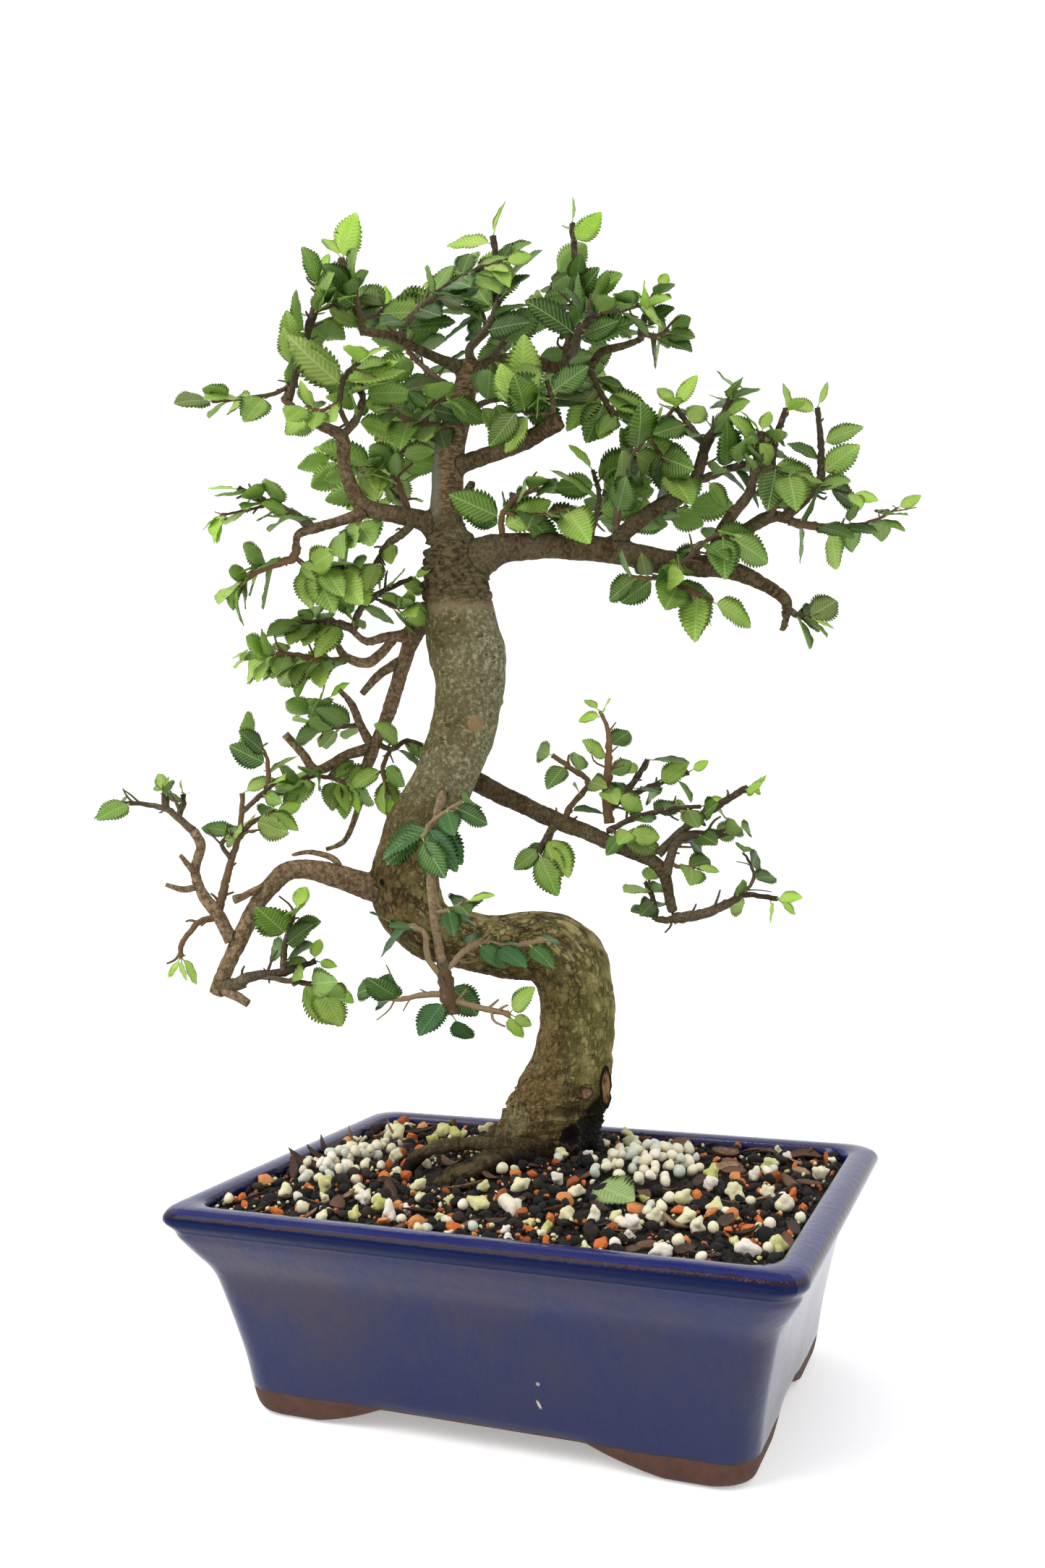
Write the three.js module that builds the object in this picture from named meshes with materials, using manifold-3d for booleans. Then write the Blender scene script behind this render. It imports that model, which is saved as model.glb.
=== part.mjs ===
// A Chinese elm bonsai in its glazed pot, in millimetres with +Z up. The pot's long side lies along X, its
// front faces -Y, and the origin is on the ground at the centre of the whole tree's box. The pot, the
// drainage screen, the soil with its two heaps of pellets, the bare tree and each leafy spray are meshes of
// their own. The screen and soil rest in the pot, and every spray sits 0.3 mm off the limb it grows from.
import * as THREE from 'three';
import { mergeVertices } from 'three/addons/utils/BufferGeometryUtils.js';
import Module from 'manifold-3d';

const wasm = await Module();
wasm.setup();
const Solid = wasm.Manifold;

// Clearance between pieces that touch
const GAP = 0.3;

// Pot
const RIM_WIDTH = 220;
const RIM_DEPTH = 166;
const POT_HEIGHT = 74;
const SKIRT_BOTTOM = 7.5;
const FLOOR_TOP = 14;
const CORNER_STEPS = 3;
const RIM_CORNER = 9;
const BODY_CORNER = 12;
const FOOT_WALL = 11;
const DRAIN_RADIUS = 7;
const DRAIN_SPACING = 76;
// Each row is how far the wall stands in from the rim's outline, and its height
const OUTER_WALL = [
  [24, 0], [22, 3], [20.5, 10], [18.5, 22], [14, 41.5], [11.3, 50.5], [7, 57.5], [3.6, 63],
  [2.4, 66], [0.4, 68.6], [0, 70.4], [1.6, 72.4], [4.6, POT_HEIGHT],
];
const INNER_WALL = [[8.2, 73.8], [10.2, 72], [13, 60], [19, 46], [24.5, 24], [29, FLOOR_TOP]];
// The scoops between the feet, front and side: half the opening on the ground, and half of it at the skirt
const FRONT_SCOOP = [61, 36];
const SIDE_SCOOP = [27, 12];

// Drainage screen over the two drain holes
const SCREEN = { length: 100, width: 20, thick: 1.2, columns: 8, rows: 2, opening: 8 };

// Soil: its level at the walls, the mound round the trunk, and its lumps
const SOIL_LEVEL = 70.6;
const MOUND = { x: -8, y: 26, rise: 5.4, spread: 32 };
const SOIL_INSET = 8;
const SOIL_CELL = 15;
const SOIL_RELIEF = 1.1;
const SOIL_LUMPS = 8;
const SOIL_CHIPS = 2;
// The lumps' least radius and what a draw adds, how far they stay off the soil's edge, the heaps and the
// fallen leaf, how high they lie, and their proportions: a chip's length and width are multiples of the
// radius, and its thickness and its tilt are its own
const LUMP = {
  least: 2.6, draw: 1.8, edge: 15, offHeap: 6, offLeaf: 15, raised: 0.6,
  round: [1, 0.85, 0.75], chip: [4, 1.6], chipThick: 1.6, chipTilt: 0.3,
};
const HEAPS = {
  pellets_right: { x: 40, y: 24, radiusX: 20, radiusY: 23, seed: 11 },
  pellets_left: { x: -82, y: 0, radiusX: 12, radiusY: 28, seed: 12 },
};
const PELLET_RADIUS = 5;
const PELLET_PITCH = 9.8;
// A pellet's share of that radius at least and what a draw adds, how far it strays, and the heap's rise
const PELLET_SIZE = { least: 1.12, draw: 0.25 };
const PELLET_STRAY = 1.2;
const PELLET_LIFT = { edge: 1, middle: 2 };
const HEAP_BED = 70.8;
const FALLEN_LEAF = { x: 33, y: -17, length: 19, heading: -0.45, raised: 1.2 };

// Tree: where the trunk stands in the pot, and how far its front is turned from the pot's front
const TREE_FOOT = new THREE.Vector3(-10, 36, 0);
const TREE_TURN = THREE.MathUtils.degToRad(21.72);

// The limbs' routes, as x to the right, y away, z up and the radius, in the tree's own front view
const LIMBS = {
  trunk: [
    [-3, 0, 59, 20.7], [-1, 0, 78, 19.3], [3, 0, 92, 17], [7, 0, 102, 16.2], [11, 1, 121, 14.7],
    [10, 3, 140, 15.4], [4, 4, 150, 15.5], [-6, 5, 153, 13.9], [-20, 6, 153, 12.4],
    [-34, 6, 156, 11.5], [-46, 5, 160, 12.1], [-53, 3, 168, 13.2], [-56, 1, 178, 13.4],
    [-55, 0, 187, 13.1], [-51, -1, 200, 12.2], [-44, -2, 212, 11.9], [-38, -2, 223, 12.4],
    [-32, -2, 239, 13.1], [-29, 0, 257, 14], [-30, 0, 270, 15.4], [-32, 0, 282, 14],
    [-34, 0, 299, 12.3], [-35, 0, 310, 10], [-37, 0, 319, 7.4], [-37, 0, 331, 6.4], [-36, 1, 344, 6.2],
    [-34, 1, 357, 5.9], [-30, 2, 370, 5.2], [-27, 2, 386, 4],
  ],
  right_branch: [
    [-33, 0, 299, 8], [-25, -2, 306, 8], [-15, -4, 310, 6], [-4, -6, 310, 5.4], [10, -8, 309, 4.9],
    [26, -10, 307, 5.1], [41, -12, 303, 4.8], [56, -14, 300, 4.3], [70, -16, 298, 3.9],
    [82, -18, 293, 2.8], [92, -19, 286, 2.5], [93, -20, 280, 1.7], [91, -20, 273, 1.4],
  ],
  right_upper: [
    [26, -10, 307, 3.4], [34, -12, 315, 3.4], [44, -13, 322, 3.1], [53, -14, 326, 3.1],
    [58, -15, 330, 2.6],
  ],
  right_far: [
    [65, -16, 299, 2.8], [71, -15, 307, 3.1], [80, -13, 314, 2.8], [90, -12, 319, 2.5],
    [97, -11, 317, 1.7],
  ],
  right_mid: [
    [66, -15, 300, 2.8], [68, -18, 310, 2.6], [73, -20, 318, 2.3], [79, -22, 325, 2.1],
    [81, -23, 333, 1.6],
  ],
  low_left: [
    [-57, 0, 175, 5.7], [-67, -3, 177, 5.4], [-78, -7, 181, 4.8], [-89, -11, 185, 4.2],
    [-99, -14, 185, 3.9], [-105, -16, 180, 3.6], [-111, -18, 172, 3.4], [-116, -19, 162, 3.3],
    [-121, -20, 151, 3.1], [-126, -21, 139, 2.9],
  ],
  low_left_up: [
    [-120, -20, 159, 2.7], [-125, -20, 169, 2.3], [-131, -19, 177, 2.1], [-134, -18, 186, 1.8],
    [-132, -17, 195, 1.9], [-135, -16, 201, 1.7],
  ],
  mid_left: [
    [-40, 4, 288, 4.9], [-50, 10, 281, 4.4], [-55, 16, 271, 3.2], [-60, 21, 258, 3],
    [-65, 26, 245, 2.8], [-71, 30, 233, 2.6], [-76, 33, 220, 2], [-78, 35, 211, 1.4],
  ],
  mid_left_fore: [
    [-52, 12, 278, 2.9], [-62, 7, 277, 2.2], [-70, 3, 275, 1.7], [-75, 1, 279, 1.4],
  ],
  mid_left_low: [
    [-71, 30, 234, 2.4], [-82, 30, 231, 2.1], [-94, 29, 225, 2.1], [-100, 28, 232, 1.8],
    [-107, 27, 240, 1.8],
  ],
  upper_left: [
    [-38, 0, 314, 5.7], [-45, -1, 321, 4.6], [-56, -3, 324, 3.7], [-67, -6, 326, 3.7],
    [-73, -8, 332, 3.1], [-76, -10, 343, 2.7], [-77, -11, 353, 2.8], [-86, -12, 358, 2.1],
    [-94, -13, 363, 1.8], [-99, -14, 368, 1.7],
  ],
  upper_left_low: [
    [-69, -7, 324, 2.3], [-79, -10, 320, 2.1], [-88, -13, 317, 2], [-94, -14, 314, 1.5],
    [-94, -15, 307, 1.4],
  ],
  crown_left: [
    [-27, 2, 382, 3.5], [-38, 0, 386, 2.2], [-48, -3, 390, 1.9], [-58, -6, 394, 1.7],
    [-68, -8, 395, 1.7],
  ],
  crown_right: [
    [-27, 2, 380, 3.7], [-15, 3, 386, 3.2], [-2, 5, 386, 2.9], [9, 7, 384, 2.5], [20, 8, 384, 2.2],
    [26, 9, 391, 1.8], [35, 10, 394, 1.6], [43, 11, 397, 1.3],
  ],
  crown_stub: [
    [-34, 0, 343, 3.7], [-19, -8, 346, 3.4], [-6, -14, 349, 3.4], [4, -20, 353, 3.6],
    [8, -22, 355, 3.6],
  ],
  lower_right: [
    [-33, 8, 222, 4.3], [-21, 10, 215, 3.9], [-9, 8, 209, 3.6], [3, 4, 203, 3.7], [15, 0, 198, 3.4],
    [28, -5, 192, 3.1], [40, -9, 187, 2.8], [45, -11, 181, 2.5], [47, -12, 172, 2.1],
    [48, -13, 166.5, 1.9],
  ],
  front_hanging: [
    [-39, -9, 217, 2.2], [-41, -20, 207, 1.8], [-42, -30, 195, 1.7], [-43, -36, 182, 1.7],
    [-42, -40, 169, 1.7], [-40, -43, 157, 1.8], [-39, -44, 151, 2],
  ],
  low_left_stub: [
    [-106, -16, 180, 1.9], [-111, -20, 178, 1.5], [-115, -22, 176, 1.5], [-118, -24, 175, 1.8],
  ],
  low_left_dead: [
    [-80, -9, 183, 1.4], [-82, -10, 189, 1.3], [-91, -12, 192, 1], [-98, -13, 191, 0.6],
  ],
  low_left_foot: [
    [-125, -21, 142, 2.2], [-118, -24, 139, 1.8], [-113, -25, 136, 1.5],
  ],
  low_left_peg: [
    [-133, -18, 183, 1.2], [-136, -20, 188, 1.1], [-139, -21, 192, 0.8],
  ],
  low_left_snag: [
    [-132, -18, 180, 1.4], [-138, -21, 179, 1.2], [-144, -23, 181, 0.8],
  ],
  mid_left_end: [
    [-77, 35, 212, 1.5], [-80, 34, 203, 1.2], [-84, 32, 195, 1.1], [-91, 30, 192, 0.8],
  ],
  mid_left_second: [
    [-60, 10, 276, 2], [-69, 6, 267, 2], [-78, 4, 269, 1.7], [-82, 3, 275, 1.3], [-85, 2, 283, 1.3],
  ],
  mid_left_elbow: [
    [-57, 18, 269, 2.1], [-66, 15, 263, 1.8], [-73, 12, 255, 1.3],
  ],
  mid_left_rise: [
    [-71, 30, 234, 2.3], [-76, 28, 244, 1.8], [-79, 26, 252, 1.5], [-84, 25, 258, 1],
  ],
  leader_snag: [
    [-37, 0, 328, 2.9], [-30, -8, 329, 2.5], [-26, -11, 335, 1.7],
  ],
  root_arch: [
    [8, -8, 77, 4.7], [-5, -17, 79, 3], [-17, -21, 81, 2.6], [-31, -23, 82, 2.6], [-43, -24, 81, 2.6],
    [-52, -24, 76, 2.6], [-56, -25, 67, 2.3],
  ],
  root_hump: [
    [-5, -8, 75, 8.4], [-17, -22, 74, 6.3], [-29, -31, 73, 5.9], [-40, -37, 69, 5],
    [-46, -40, 58, 3.4],
  ],
  root_right: [
    [8, -2, 79, 7.1], [19, -6, 72, 4.8], [27, -10, 66, 3.1], [35, -12, 55, 1.9],
  ],
  root_left: [
    [-12, 3, 81, 7.1], [-24, 9, 75, 4.6], [-35, 14, 67, 3.2], [-45, 17, 53, 2],
  ],
  root_back: [
    [1, 8, 80, 7.2], [6, 17, 66, 4.6], [9, 21, 44, 2.6],
  ],
};

const SPRAYS = {
  low_left_tip: [
    {
      route: [[-135, -16, 201], [-142, -15, 207], [-147, -14, 210], [-157, -13, 212], [-166, -12, 212]],
      thick: [3, 1.1], leaves: 3, long: 11, from: 0.75, young: 0, droop: 0.2,
    },
    {
      route: [[-146, -14, 210], [-146, -14, 216]],
      thick: [2.8, 2.2], leaves: 5, long: 9, from: 0.5, young: 4, droop: -0.2,
    },
    {
      route: [[-141, -15, 207], [-139, -15, 211], [-139, -15, 215]],
      thick: [2.5, 1.4], leaves: 3, long: 8, from: 0.4, young: 2, droop: 0.1,
    },
  ],
  low_left_curl: [
    {
      route: [[-125, -20, 168], [-131, -22, 167], [-135, -24, 163], [-138, -25, 158], [-138, -25, 154]],
      thick: [2.5, 1.6], leaves: 4, long: 11, from: 0.9, young: 4, droop: 0.9,
    },
  ],
  low_left_rise: [
    {
      route: [[-125, -19, 171], [-123, -17, 180], [-121, -15, 189], [-118, -13, 200], [-117, -12, 215]],
      thick: [3.3, 1.7], leaves: 2, long: 12, from: 0.6, young: 0, droop: 0.1,
    },
    {
      route: [[-121, -15, 190], [-124, -17, 196], [-119, -18, 200]],
      thick: [1.9, 1.1], leaves: 4, long: 12, from: 0.5, young: 0, droop: 0.2,
    },
    {
      route: [[-118, -13, 198], [-113, -11, 204], [-105, -9, 208]],
      thick: [2.2, 1.1], leaves: 5, long: 14, from: 0.3, young: 1, droop: 0.2,
    },
    {
      route: [[-117, -12, 208], [-111, -13, 213], [-104, -14, 219]],
      thick: [2, 1.4], leaves: 4, long: 12, from: 0.4, young: 0, droop: 0.2,
    },
    {
      route: [[-107, -13, 217], [-107, -12, 227], [-110, -11, 233], [-115, -10, 236]],
      thick: [1.7, 0.8], leaves: 6, long: 13, from: 0.1, young: 0, droop: 0,
    },
  ],
  low_left_in: [
    {
      route: [[-125, -21, 142], [-118, -23, 143], [-112, -25, 146], [-99, -28, 148], [-87, -29, 152]],
      thick: [5.5, 1.6], leaves: 4, long: 12, from: 0.7, young: 2, droop: 0.2,
    },
    {
      route: [[-111, -25, 147], [-98, -30, 145], [-88, -33, 144], [-80, -34, 143]],
      thick: [2.4, 1.1], leaves: 5, long: 16, from: 0.5, young: 1, droop: 0.8,
    },
    {
      route: [[-99, -28, 148], [-99, -27, 156], [-97, -26, 164], [-95, -25, 171]],
      thick: [2.4, 1.4], leaves: 7, long: 15, from: 0.1, young: 1, droop: 0.2,
    },
  ],
  mid_left_fore: [
    {
      route: [[-75, 1, 278], [-72, 0, 287], [-63, -1, 294], [-51, -2, 299]],
      thick: [2.6, 1.4], leaves: 8, long: 12, from: 0.1, young: 1, droop: 0.2,
    },
    {
      route: [[-65, -1, 291], [-57, -4, 287], [-49, -6, 288]],
      thick: [1.1, 0.8], leaves: 5, long: 13, from: 0.3, young: 0, droop: 0.4,
    },
    {
      route: [[-75, 1, 280], [-82, 2, 282], [-89, 3, 283], [-99, 4, 283]],
      thick: [3.4, 1.4], leaves: 10, long: 15, from: 0.2, young: 0, droop: 0.5,
    },
  ],
  mid_left_dark: [
    {
      route: [[-77, 3, 268], [-86, -2, 267], [-98, -6, 269], [-106, -8, 269]],
      thick: [2.6, 1.4], leaves: 12, long: 17, from: 0.1, young: 0, droop: 0.5,
    },
    {
      route: [[-105, -8, 269], [-114, -9, 270]],
      thick: [0.8, 0.8], leaves: 4, long: 12, from: 0.5, young: 3, droop: 0.4,
    },
  ],
  mid_left_middle: [
    {
      route: [[-75, 28, 243], [-85, 30, 243], [-95, 31, 241]],
      thick: [1.8, 1.2], leaves: 6, long: 15, from: 0.2, young: 1, droop: 0.2,
    },
    {
      route: [[-94, 31, 241], [-96, 30, 249], [-89, 30, 255]],
      thick: [1.2, 0.9], leaves: 5, long: 16, from: 0.2, young: 1, droop: 0.1,
    },
  ],
  mid_left_low: [
    {
      route: [[-93, 29, 225], [-97, 25, 222], [-103, 22, 220]],
      thick: [3, 1.2], leaves: 6, long: 15, from: 0.2, young: 0, droop: 0.6,
    },
    {
      route: [[-96, 26, 223], [-86, 24, 221], [-80, 23, 218]],
      thick: [1.5, 1.2], leaves: 6, long: 14, from: 0.2, young: 1, droop: 0.7,
    },
  ],
  mid_left_side: [
    {
      route: [[-68, 29, 235], [-62, 22, 233], [-56, 18, 236], [-49, 16, 234]],
      thick: [2.4, 1.2], leaves: 5, long: 12, from: 0.3, young: 2, droop: 0.3,
    },
    {
      route: [[-63, 23, 233], [-66, 20, 224], [-63, 18, 214]],
      thick: [1.8, 1.2], leaves: 6, long: 13, from: 0.3, young: 1, droop: 0.5,
    },
  ],
  upper_left_leader: [
    {
      route: [[-97, -14, 367], [-94, -14, 378], [-90, -13, 391], [-86, -12, 404], [-84, -12, 415]],
      thick: [3.6, 2.3], leaves: 12, long: 15, from: 0.1, young: 1, droop: 0,
    },
    {
      route: [[-95, -14, 373], [-103, -17, 368], [-115, -19, 366], [-125, -20, 365]],
      thick: [1.7, 1.1], leaves: 5, long: 15, from: 0.3, young: 0, droop: 0.2,
    },
    {
      route: [[-86, -12, 402], [-81, -14, 403], [-77, -16, 404]],
      thick: [1.4, 1.1], leaves: 4, long: 15, from: 0.3, young: 1, droop: 0.3,
    },
  ],
  upper_left_out: [
    {
      route: [[-87, -13, 317], [-97, -15, 323], [-106, -16, 327], [-116, -17, 332]],
      thick: [3.1, 2.2], leaves: 10, long: 17, from: 0.1, young: 1, droop: 0.2,
    },
    {
      route: [[-104, -16, 326], [-113, -19, 323], [-122, -21, 321]],
      thick: [1.1, 0.8], leaves: 5, long: 14, from: 0.4, young: 4, droop: 0.6,
    },
  ],
  upper_left_drop: [
    {
      route: [[-94, -15, 310], [-96, -15, 305], [-103, -16, 303], [-111, -17, 299], [-117, -17, 294]],
      thick: [3.3, 1.9], leaves: 8, long: 16, from: 0.4, young: 0, droop: 0.4,
    },
    {
      route: [[-95, -15, 306], [-90, -13, 302], [-82, -12, 302], [-74, -11, 301]],
      thick: [1.7, 1.4], leaves: 10, long: 17, from: 0.1, young: 0, droop: 0.9,
    },
  ],
  upper_left_hang: [
    {
      route: [[-69, -8, 323], [-73, -14, 317], [-77, -18, 314]],
      thick: [1.7, 1.1], leaves: 5, long: 19, from: 0.2, young: 0, droop: 0.9,
    },
  ],
  upper_left_inner: [
    {
      route: [[-51, -2, 323], [-56, 2, 337], [-58, 6, 345], [-55, 9, 352], [-49, 12, 357]],
      thick: [2.6, 1.5], leaves: 8, long: 15, from: 0.2, young: 0, droop: 0.3,
    },
    {
      route: [[-58, 5, 344], [-64, 3, 345], [-68, 0, 343]],
      thick: [1.4, 1.1], leaves: 5, long: 16, from: 0.2, young: 0, droop: 0.3,
    },
    {
      route: [[-53, 1, 329], [-61, 22, 339], [-75, 36, 352], [-91, 46, 361]],
      thick: [2.6, 1.6], leaves: 12, long: 16, from: 0.2, young: 1, droop: 0.3,
    },
    {
      route: [[-63, 25, 342], [-56, 40, 362], [-44, 50, 383]],
      thick: [1.8, 1.3], leaves: 10, long: 16, from: 0.2, young: 0, droop: 0.3,
    },
  ],
  upper_left_grey: [
    {
      route: [[-49, -2, 323], [-54, -6, 316], [-60, -9, 311], [-64, -10, 304], [-69, -10, 300]],
      thick: [3.7, 1.4], leaves: 5, long: 12, from: 0.4, young: 1, droop: 0.6,
    },
  ],
  left_shoulder: [
    {
      route: [[-76, -11, 354], [-70, -14, 360], [-68, -16, 367], [-69, -17, 372]],
      thick: [3.1, 1.4], leaves: 6, long: 15, from: 0.2, young: 0, droop: 0.2,
    },
    {
      route: [[-74, -12, 357], [-76, -22, 362], [-73, -28, 371], [-67, -32, 375]],
      thick: [2, 1.4], leaves: 7, long: 19, from: 0.4, young: 2, droop: 0.1,
    },
    {
      route: [[-76, -23, 363], [-82, -26, 359], [-88, -28, 360]],
      thick: [1.4, 0.8], leaves: 5, long: 15, from: 0.2, young: 0, droop: 0.6,
    },
  ],
  crown_left_up: [
    {
      route: [[-68, -8, 394], [-70, -9, 404], [-72, -10, 413], [-76, -11, 423]],
      thick: [2.8, 2.3], leaves: 8, long: 17, from: 0.2, young: 2, droop: 0.1,
    },
    {
      route: [[-69, -9, 400], [-63, -2, 404], [-58, 4, 411]],
      thick: [2, 1.4], leaves: 6, long: 17, from: 0.3, young: 0, droop: 0.3,
    },
  ],
  crown_front_long: [
    {
      route: [
        [-54, -5, 393], [-51, -14, 396], [-42, -20, 402], [-33, -24, 407], [-23, -27, 411], [-13, -29, 413],
      ],
      thick: [2.6, 1.6], leaves: 13, long: 18, from: 0.1, young: 2, droop: 0.2,
    },
  ],
  crown_mid_up: [
    {
      route: [[-26, 3, 386], [-27, 7, 393], [-20, 10, 402], [-16, 11, 411], [-15, 11, 421], [-17, 11, 440]],
      thick: [3.5, 2.1], leaves: 13, long: 18, from: 0.3, young: 2, droop: 0.1,
    },
    {
      route: [[-20, 10, 402], [-23, 20, 416], [-26, 26, 429]],
      thick: [1.8, 1.2], leaves: 6, long: 17, from: 0.2, young: 0, droop: 0.2,
    },
  ],
  crown_right_rise: [
    {
      route: [[11, 7, 385], [13, 5, 395], [15, 4, 406], [16, 3, 420], [15, 3, 441]],
      thick: [3.2, 2], leaves: 13, long: 15, from: 0.15, young: 3, droop: 0.1,
    },
    {
      route: [[16, 4, 406], [21, 6, 410], [25, 8, 415]],
      thick: [1.7, 1.5], leaves: 5, long: 14, from: 0.3, young: 0, droop: 0.3,
    },
    {
      route: [[13, 6, 389], [15, -8, 387], [16, -16, 391], [24, -19, 397], [31, -20, 401]],
      thick: [2.9, 2.2], leaves: 9, long: 17, from: 0.3, young: 2, droop: 0.1,
    },
    {
      route: [[24, -19, 397], [33, -24, 396], [39, -26, 397]],
      thick: [1.4, 1.1], leaves: 6, long: 15, from: 0.3, young: 4, droop: 0.1,
    },
  ],
  crown_right_tip: [
    {
      route: [[42, 11, 396], [44, 10, 405], [49, 9, 416]],
      thick: [2.9, 2.3], leaves: 7, long: 15, from: 0.2, young: 1, droop: 0.2,
    },
    {
      route: [[43, 11, 399], [49, 14, 399], [54, 16, 402]],
      thick: [2.1, 1.5], leaves: 5, long: 16, from: 0.2, young: 0, droop: 0.6,
    },
  ],
  crown_right_drop: [
    {
      route: [[21, 8, 384], [25, 2, 372], [31, -3, 361]],
      thick: [2.9, 1.7], leaves: 9, long: 16, from: 0.1, young: 0, droop: 0.3,
    },
  ],
  crown_stub_twig: [
    {
      route: [[5, -21, 354], [5, -22, 362], [3, -22, 370]],
      thick: [2.5, 1.4], leaves: 6, long: 17, from: 0.3, young: 0, droop: 0.3,
    },
    {
      route: [[5, -21, 358], [-3, -27, 356], [-11, -30, 358]],
      thick: [1.4, 1.1], leaves: 5, long: 17, from: 0.3, young: 0, droop: 0.3,
    },
  ],
  leader_right: [
    {
      route: [[-28, 2, 366], [-21, -6, 367], [-12, -12, 367], [-5, -16, 368]],
      thick: [2.3, 1.4], leaves: 7, long: 17, from: 0.2, young: 0, droop: 0.3,
    },
  ],
  leader_left: [
    {
      route: [[-35, 0, 356], [-41, -5, 358], [-49, -10, 358], [-57, -14, 363]],
      thick: [4.3, 1.7], leaves: 7, long: 16, from: 0.2, young: 0, droop: 0.3,
    },
    {
      route: [[-45, -8, 358], [-42, -10, 365], [-36, -12, 367]],
      thick: [2.3, 1.4], leaves: 3, long: 15, from: 0.3, young: 0, droop: 0.2,
    },
  ],
  right_far_tip: [
    {
      route: [[96, -11, 317], [107, -10, 315], [118, -9, 315], [127, -8, 316]],
      thick: [3.4, 1.4], leaves: 6, long: 16, from: 0.1, young: 0, droop: 0.6,
    },
    {
      route: [[126, -8, 316], [134, -8, 319], [139, -8, 322]],
      thick: [1.1, 0.8], leaves: 4, long: 13, from: 0.3, young: 2, droop: 0.3,
    },
  ],
  right_far_up: [
    {
      route: [[94, -12, 318], [103, -10, 326], [109, -9, 333], [110, -8, 347], [109, -8, 362]],
      thick: [4.2, 1.7], leaves: 8, long: 14, from: 0.2, young: 2, droop: 0.1,
    },
    {
      route: [[108, -9, 332], [114, -12, 329], [120, -13, 327]],
      thick: [1.4, 0.8], leaves: 4, long: 14, from: 0.3, young: 3, droop: 0.3,
    },
  ],
  right_fourth_up: [
    {
      route: [[86, -13, 317], [91, -15, 325], [89, -17, 338], [91, -17, 348], [95, -17, 359]],
      thick: [3.1, 2.2], leaves: 9, long: 15, from: 0.15, young: 2, droop: 0.2,
    },
  ],
  right_mid_up: [
    {
      route: [[81, -23, 331], [83, -24, 341], [84, -24, 348]],
      thick: [3.6, 2.5], leaves: 7, long: 15, from: 0.1, young: 2, droop: 0.1,
    },
    {
      route: [[82, -23, 334], [88, -27, 334], [93, -29, 331]],
      thick: [1.6, 1.1], leaves: 4, long: 15, from: 0.3, young: 0, droop: 0.4,
    },
  ],
  right_upper_tip: [
    {
      route: [[59, -15, 331], [62, -16, 339], [64, -17, 346], [71, -18, 357], [75, -18, 367]],
      thick: [4.7, 2.2], leaves: 7, long: 15, from: 0.4, young: 0, droop: 0.1,
    },
    {
      route: [[64, -17, 346], [59, -20, 350], [55, -21, 355], [52, -22, 359]],
      thick: [2.2, 1.7], leaves: 6, long: 14, from: 0.2, young: 2, droop: 0.1,
    },
    {
      route: [[60, -15, 332], [67, -18, 334], [73, -20, 336], [78, -21, 337]],
      thick: [2.8, 2.2], leaves: 7, long: 15, from: 0.1, young: 1, droop: 0.2,
    },
  ],
  right_inner_rise: [
    {
      route: [
        [29, -11, 313], [30, -13, 324], [32, -15, 335], [36, -16, 343], [42, -17, 350], [52, -18, 360],
      ],
      thick: [2.5, 1.4], leaves: 12, long: 17, from: 0.1, young: 1, droop: 0.2,
    },
    {
      route: [[42, -17, 349], [46, -19, 342], [50, -20, 334]],
      thick: [1.4, 1.1], leaves: 4, long: 16, from: 0.3, young: 0, droop: 0.4,
    },
  ],
  right_inner_small: [
    {
      route: [[19, -9, 311], [23, -6, 328], [21, -4, 340]],
      thick: [2, 1.4], leaves: 7, long: 17, from: 0.2, young: 1, droop: 0.3,
    },
  ],
  right_near_collar: [
    {
      route: [[-15, -5, 314], [-15, -8, 322], [-9, -11, 328], [-1, -13, 331]],
      thick: [2.3, 1.4], leaves: 8, long: 17, from: 0.1, young: 0, droop: 0.2,
    },
    {
      route: [[-14, -8, 323], [-2, -16, 320], [10, -20, 321]],
      thick: [1.4, 1.1], leaves: 6, long: 17, from: 0.3, young: 0, droop: 0.4,
    },
  ],
  right_under: [
    {
      route: [[46, -13, 299], [49, -18, 293], [55, -22, 289], [64, -25, 284]],
      thick: [3.1, 2.2], leaves: 5, long: 17, from: 0.3, young: 0, droop: 0.5,
    },
    {
      route: [[48, -17, 294], [41, -22, 294], [33, -26, 294]],
      thick: [1.4, 1.1], leaves: 5, long: 15, from: 0.1, young: 0, droop: 0.3,
    },
    {
      route: [[48, -18, 294], [53, -25, 299], [64, -28, 308], [70, -31, 307]],
      thick: [1.9, 1.3], leaves: 7, long: 16, from: 0.1, young: 0, droop: 0.4,
    },
  ],
  right_end: [
    {
      route: [[92, -19, 283], [97, -20, 279], [102, -20, 278]],
      thick: [2.5, 1.1], leaves: 6, long: 15, from: 0.3, young: 1, droop: 0.3,
    },
  ],
  lower_right_end: [
    {
      route: [[48, -13, 164], [60, -14, 166], [70, -14, 170], [76, -14, 173], [88, -15, 171]],
      thick: [4.2, 1.4], leaves: 5, long: 10.6, from: 0.4, young: 3, droop: 0.3,
    },
    {
      route: [[75, -14, 173], [79, -15, 179], [78, -15, 184], [75, -16, 189]],
      thick: [1.4, 0.8], leaves: 3, long: 11.4, from: 0.2, young: 0, droop: 0.3,
    },
    {
      route: [[49, -13, 164], [42, -10, 164], [41, -9, 171], [38, -8, 178]],
      thick: [2.8, 1.4], leaves: 6, long: 12.3, from: 0.4, young: 0, droop: 0.5,
    },
  ],
  lower_right_out: [
    {
      route: [[43, -11, 189], [53, -11, 198], [61, -12, 204], [71, -12, 210], [78, -13, 214]],
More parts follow.
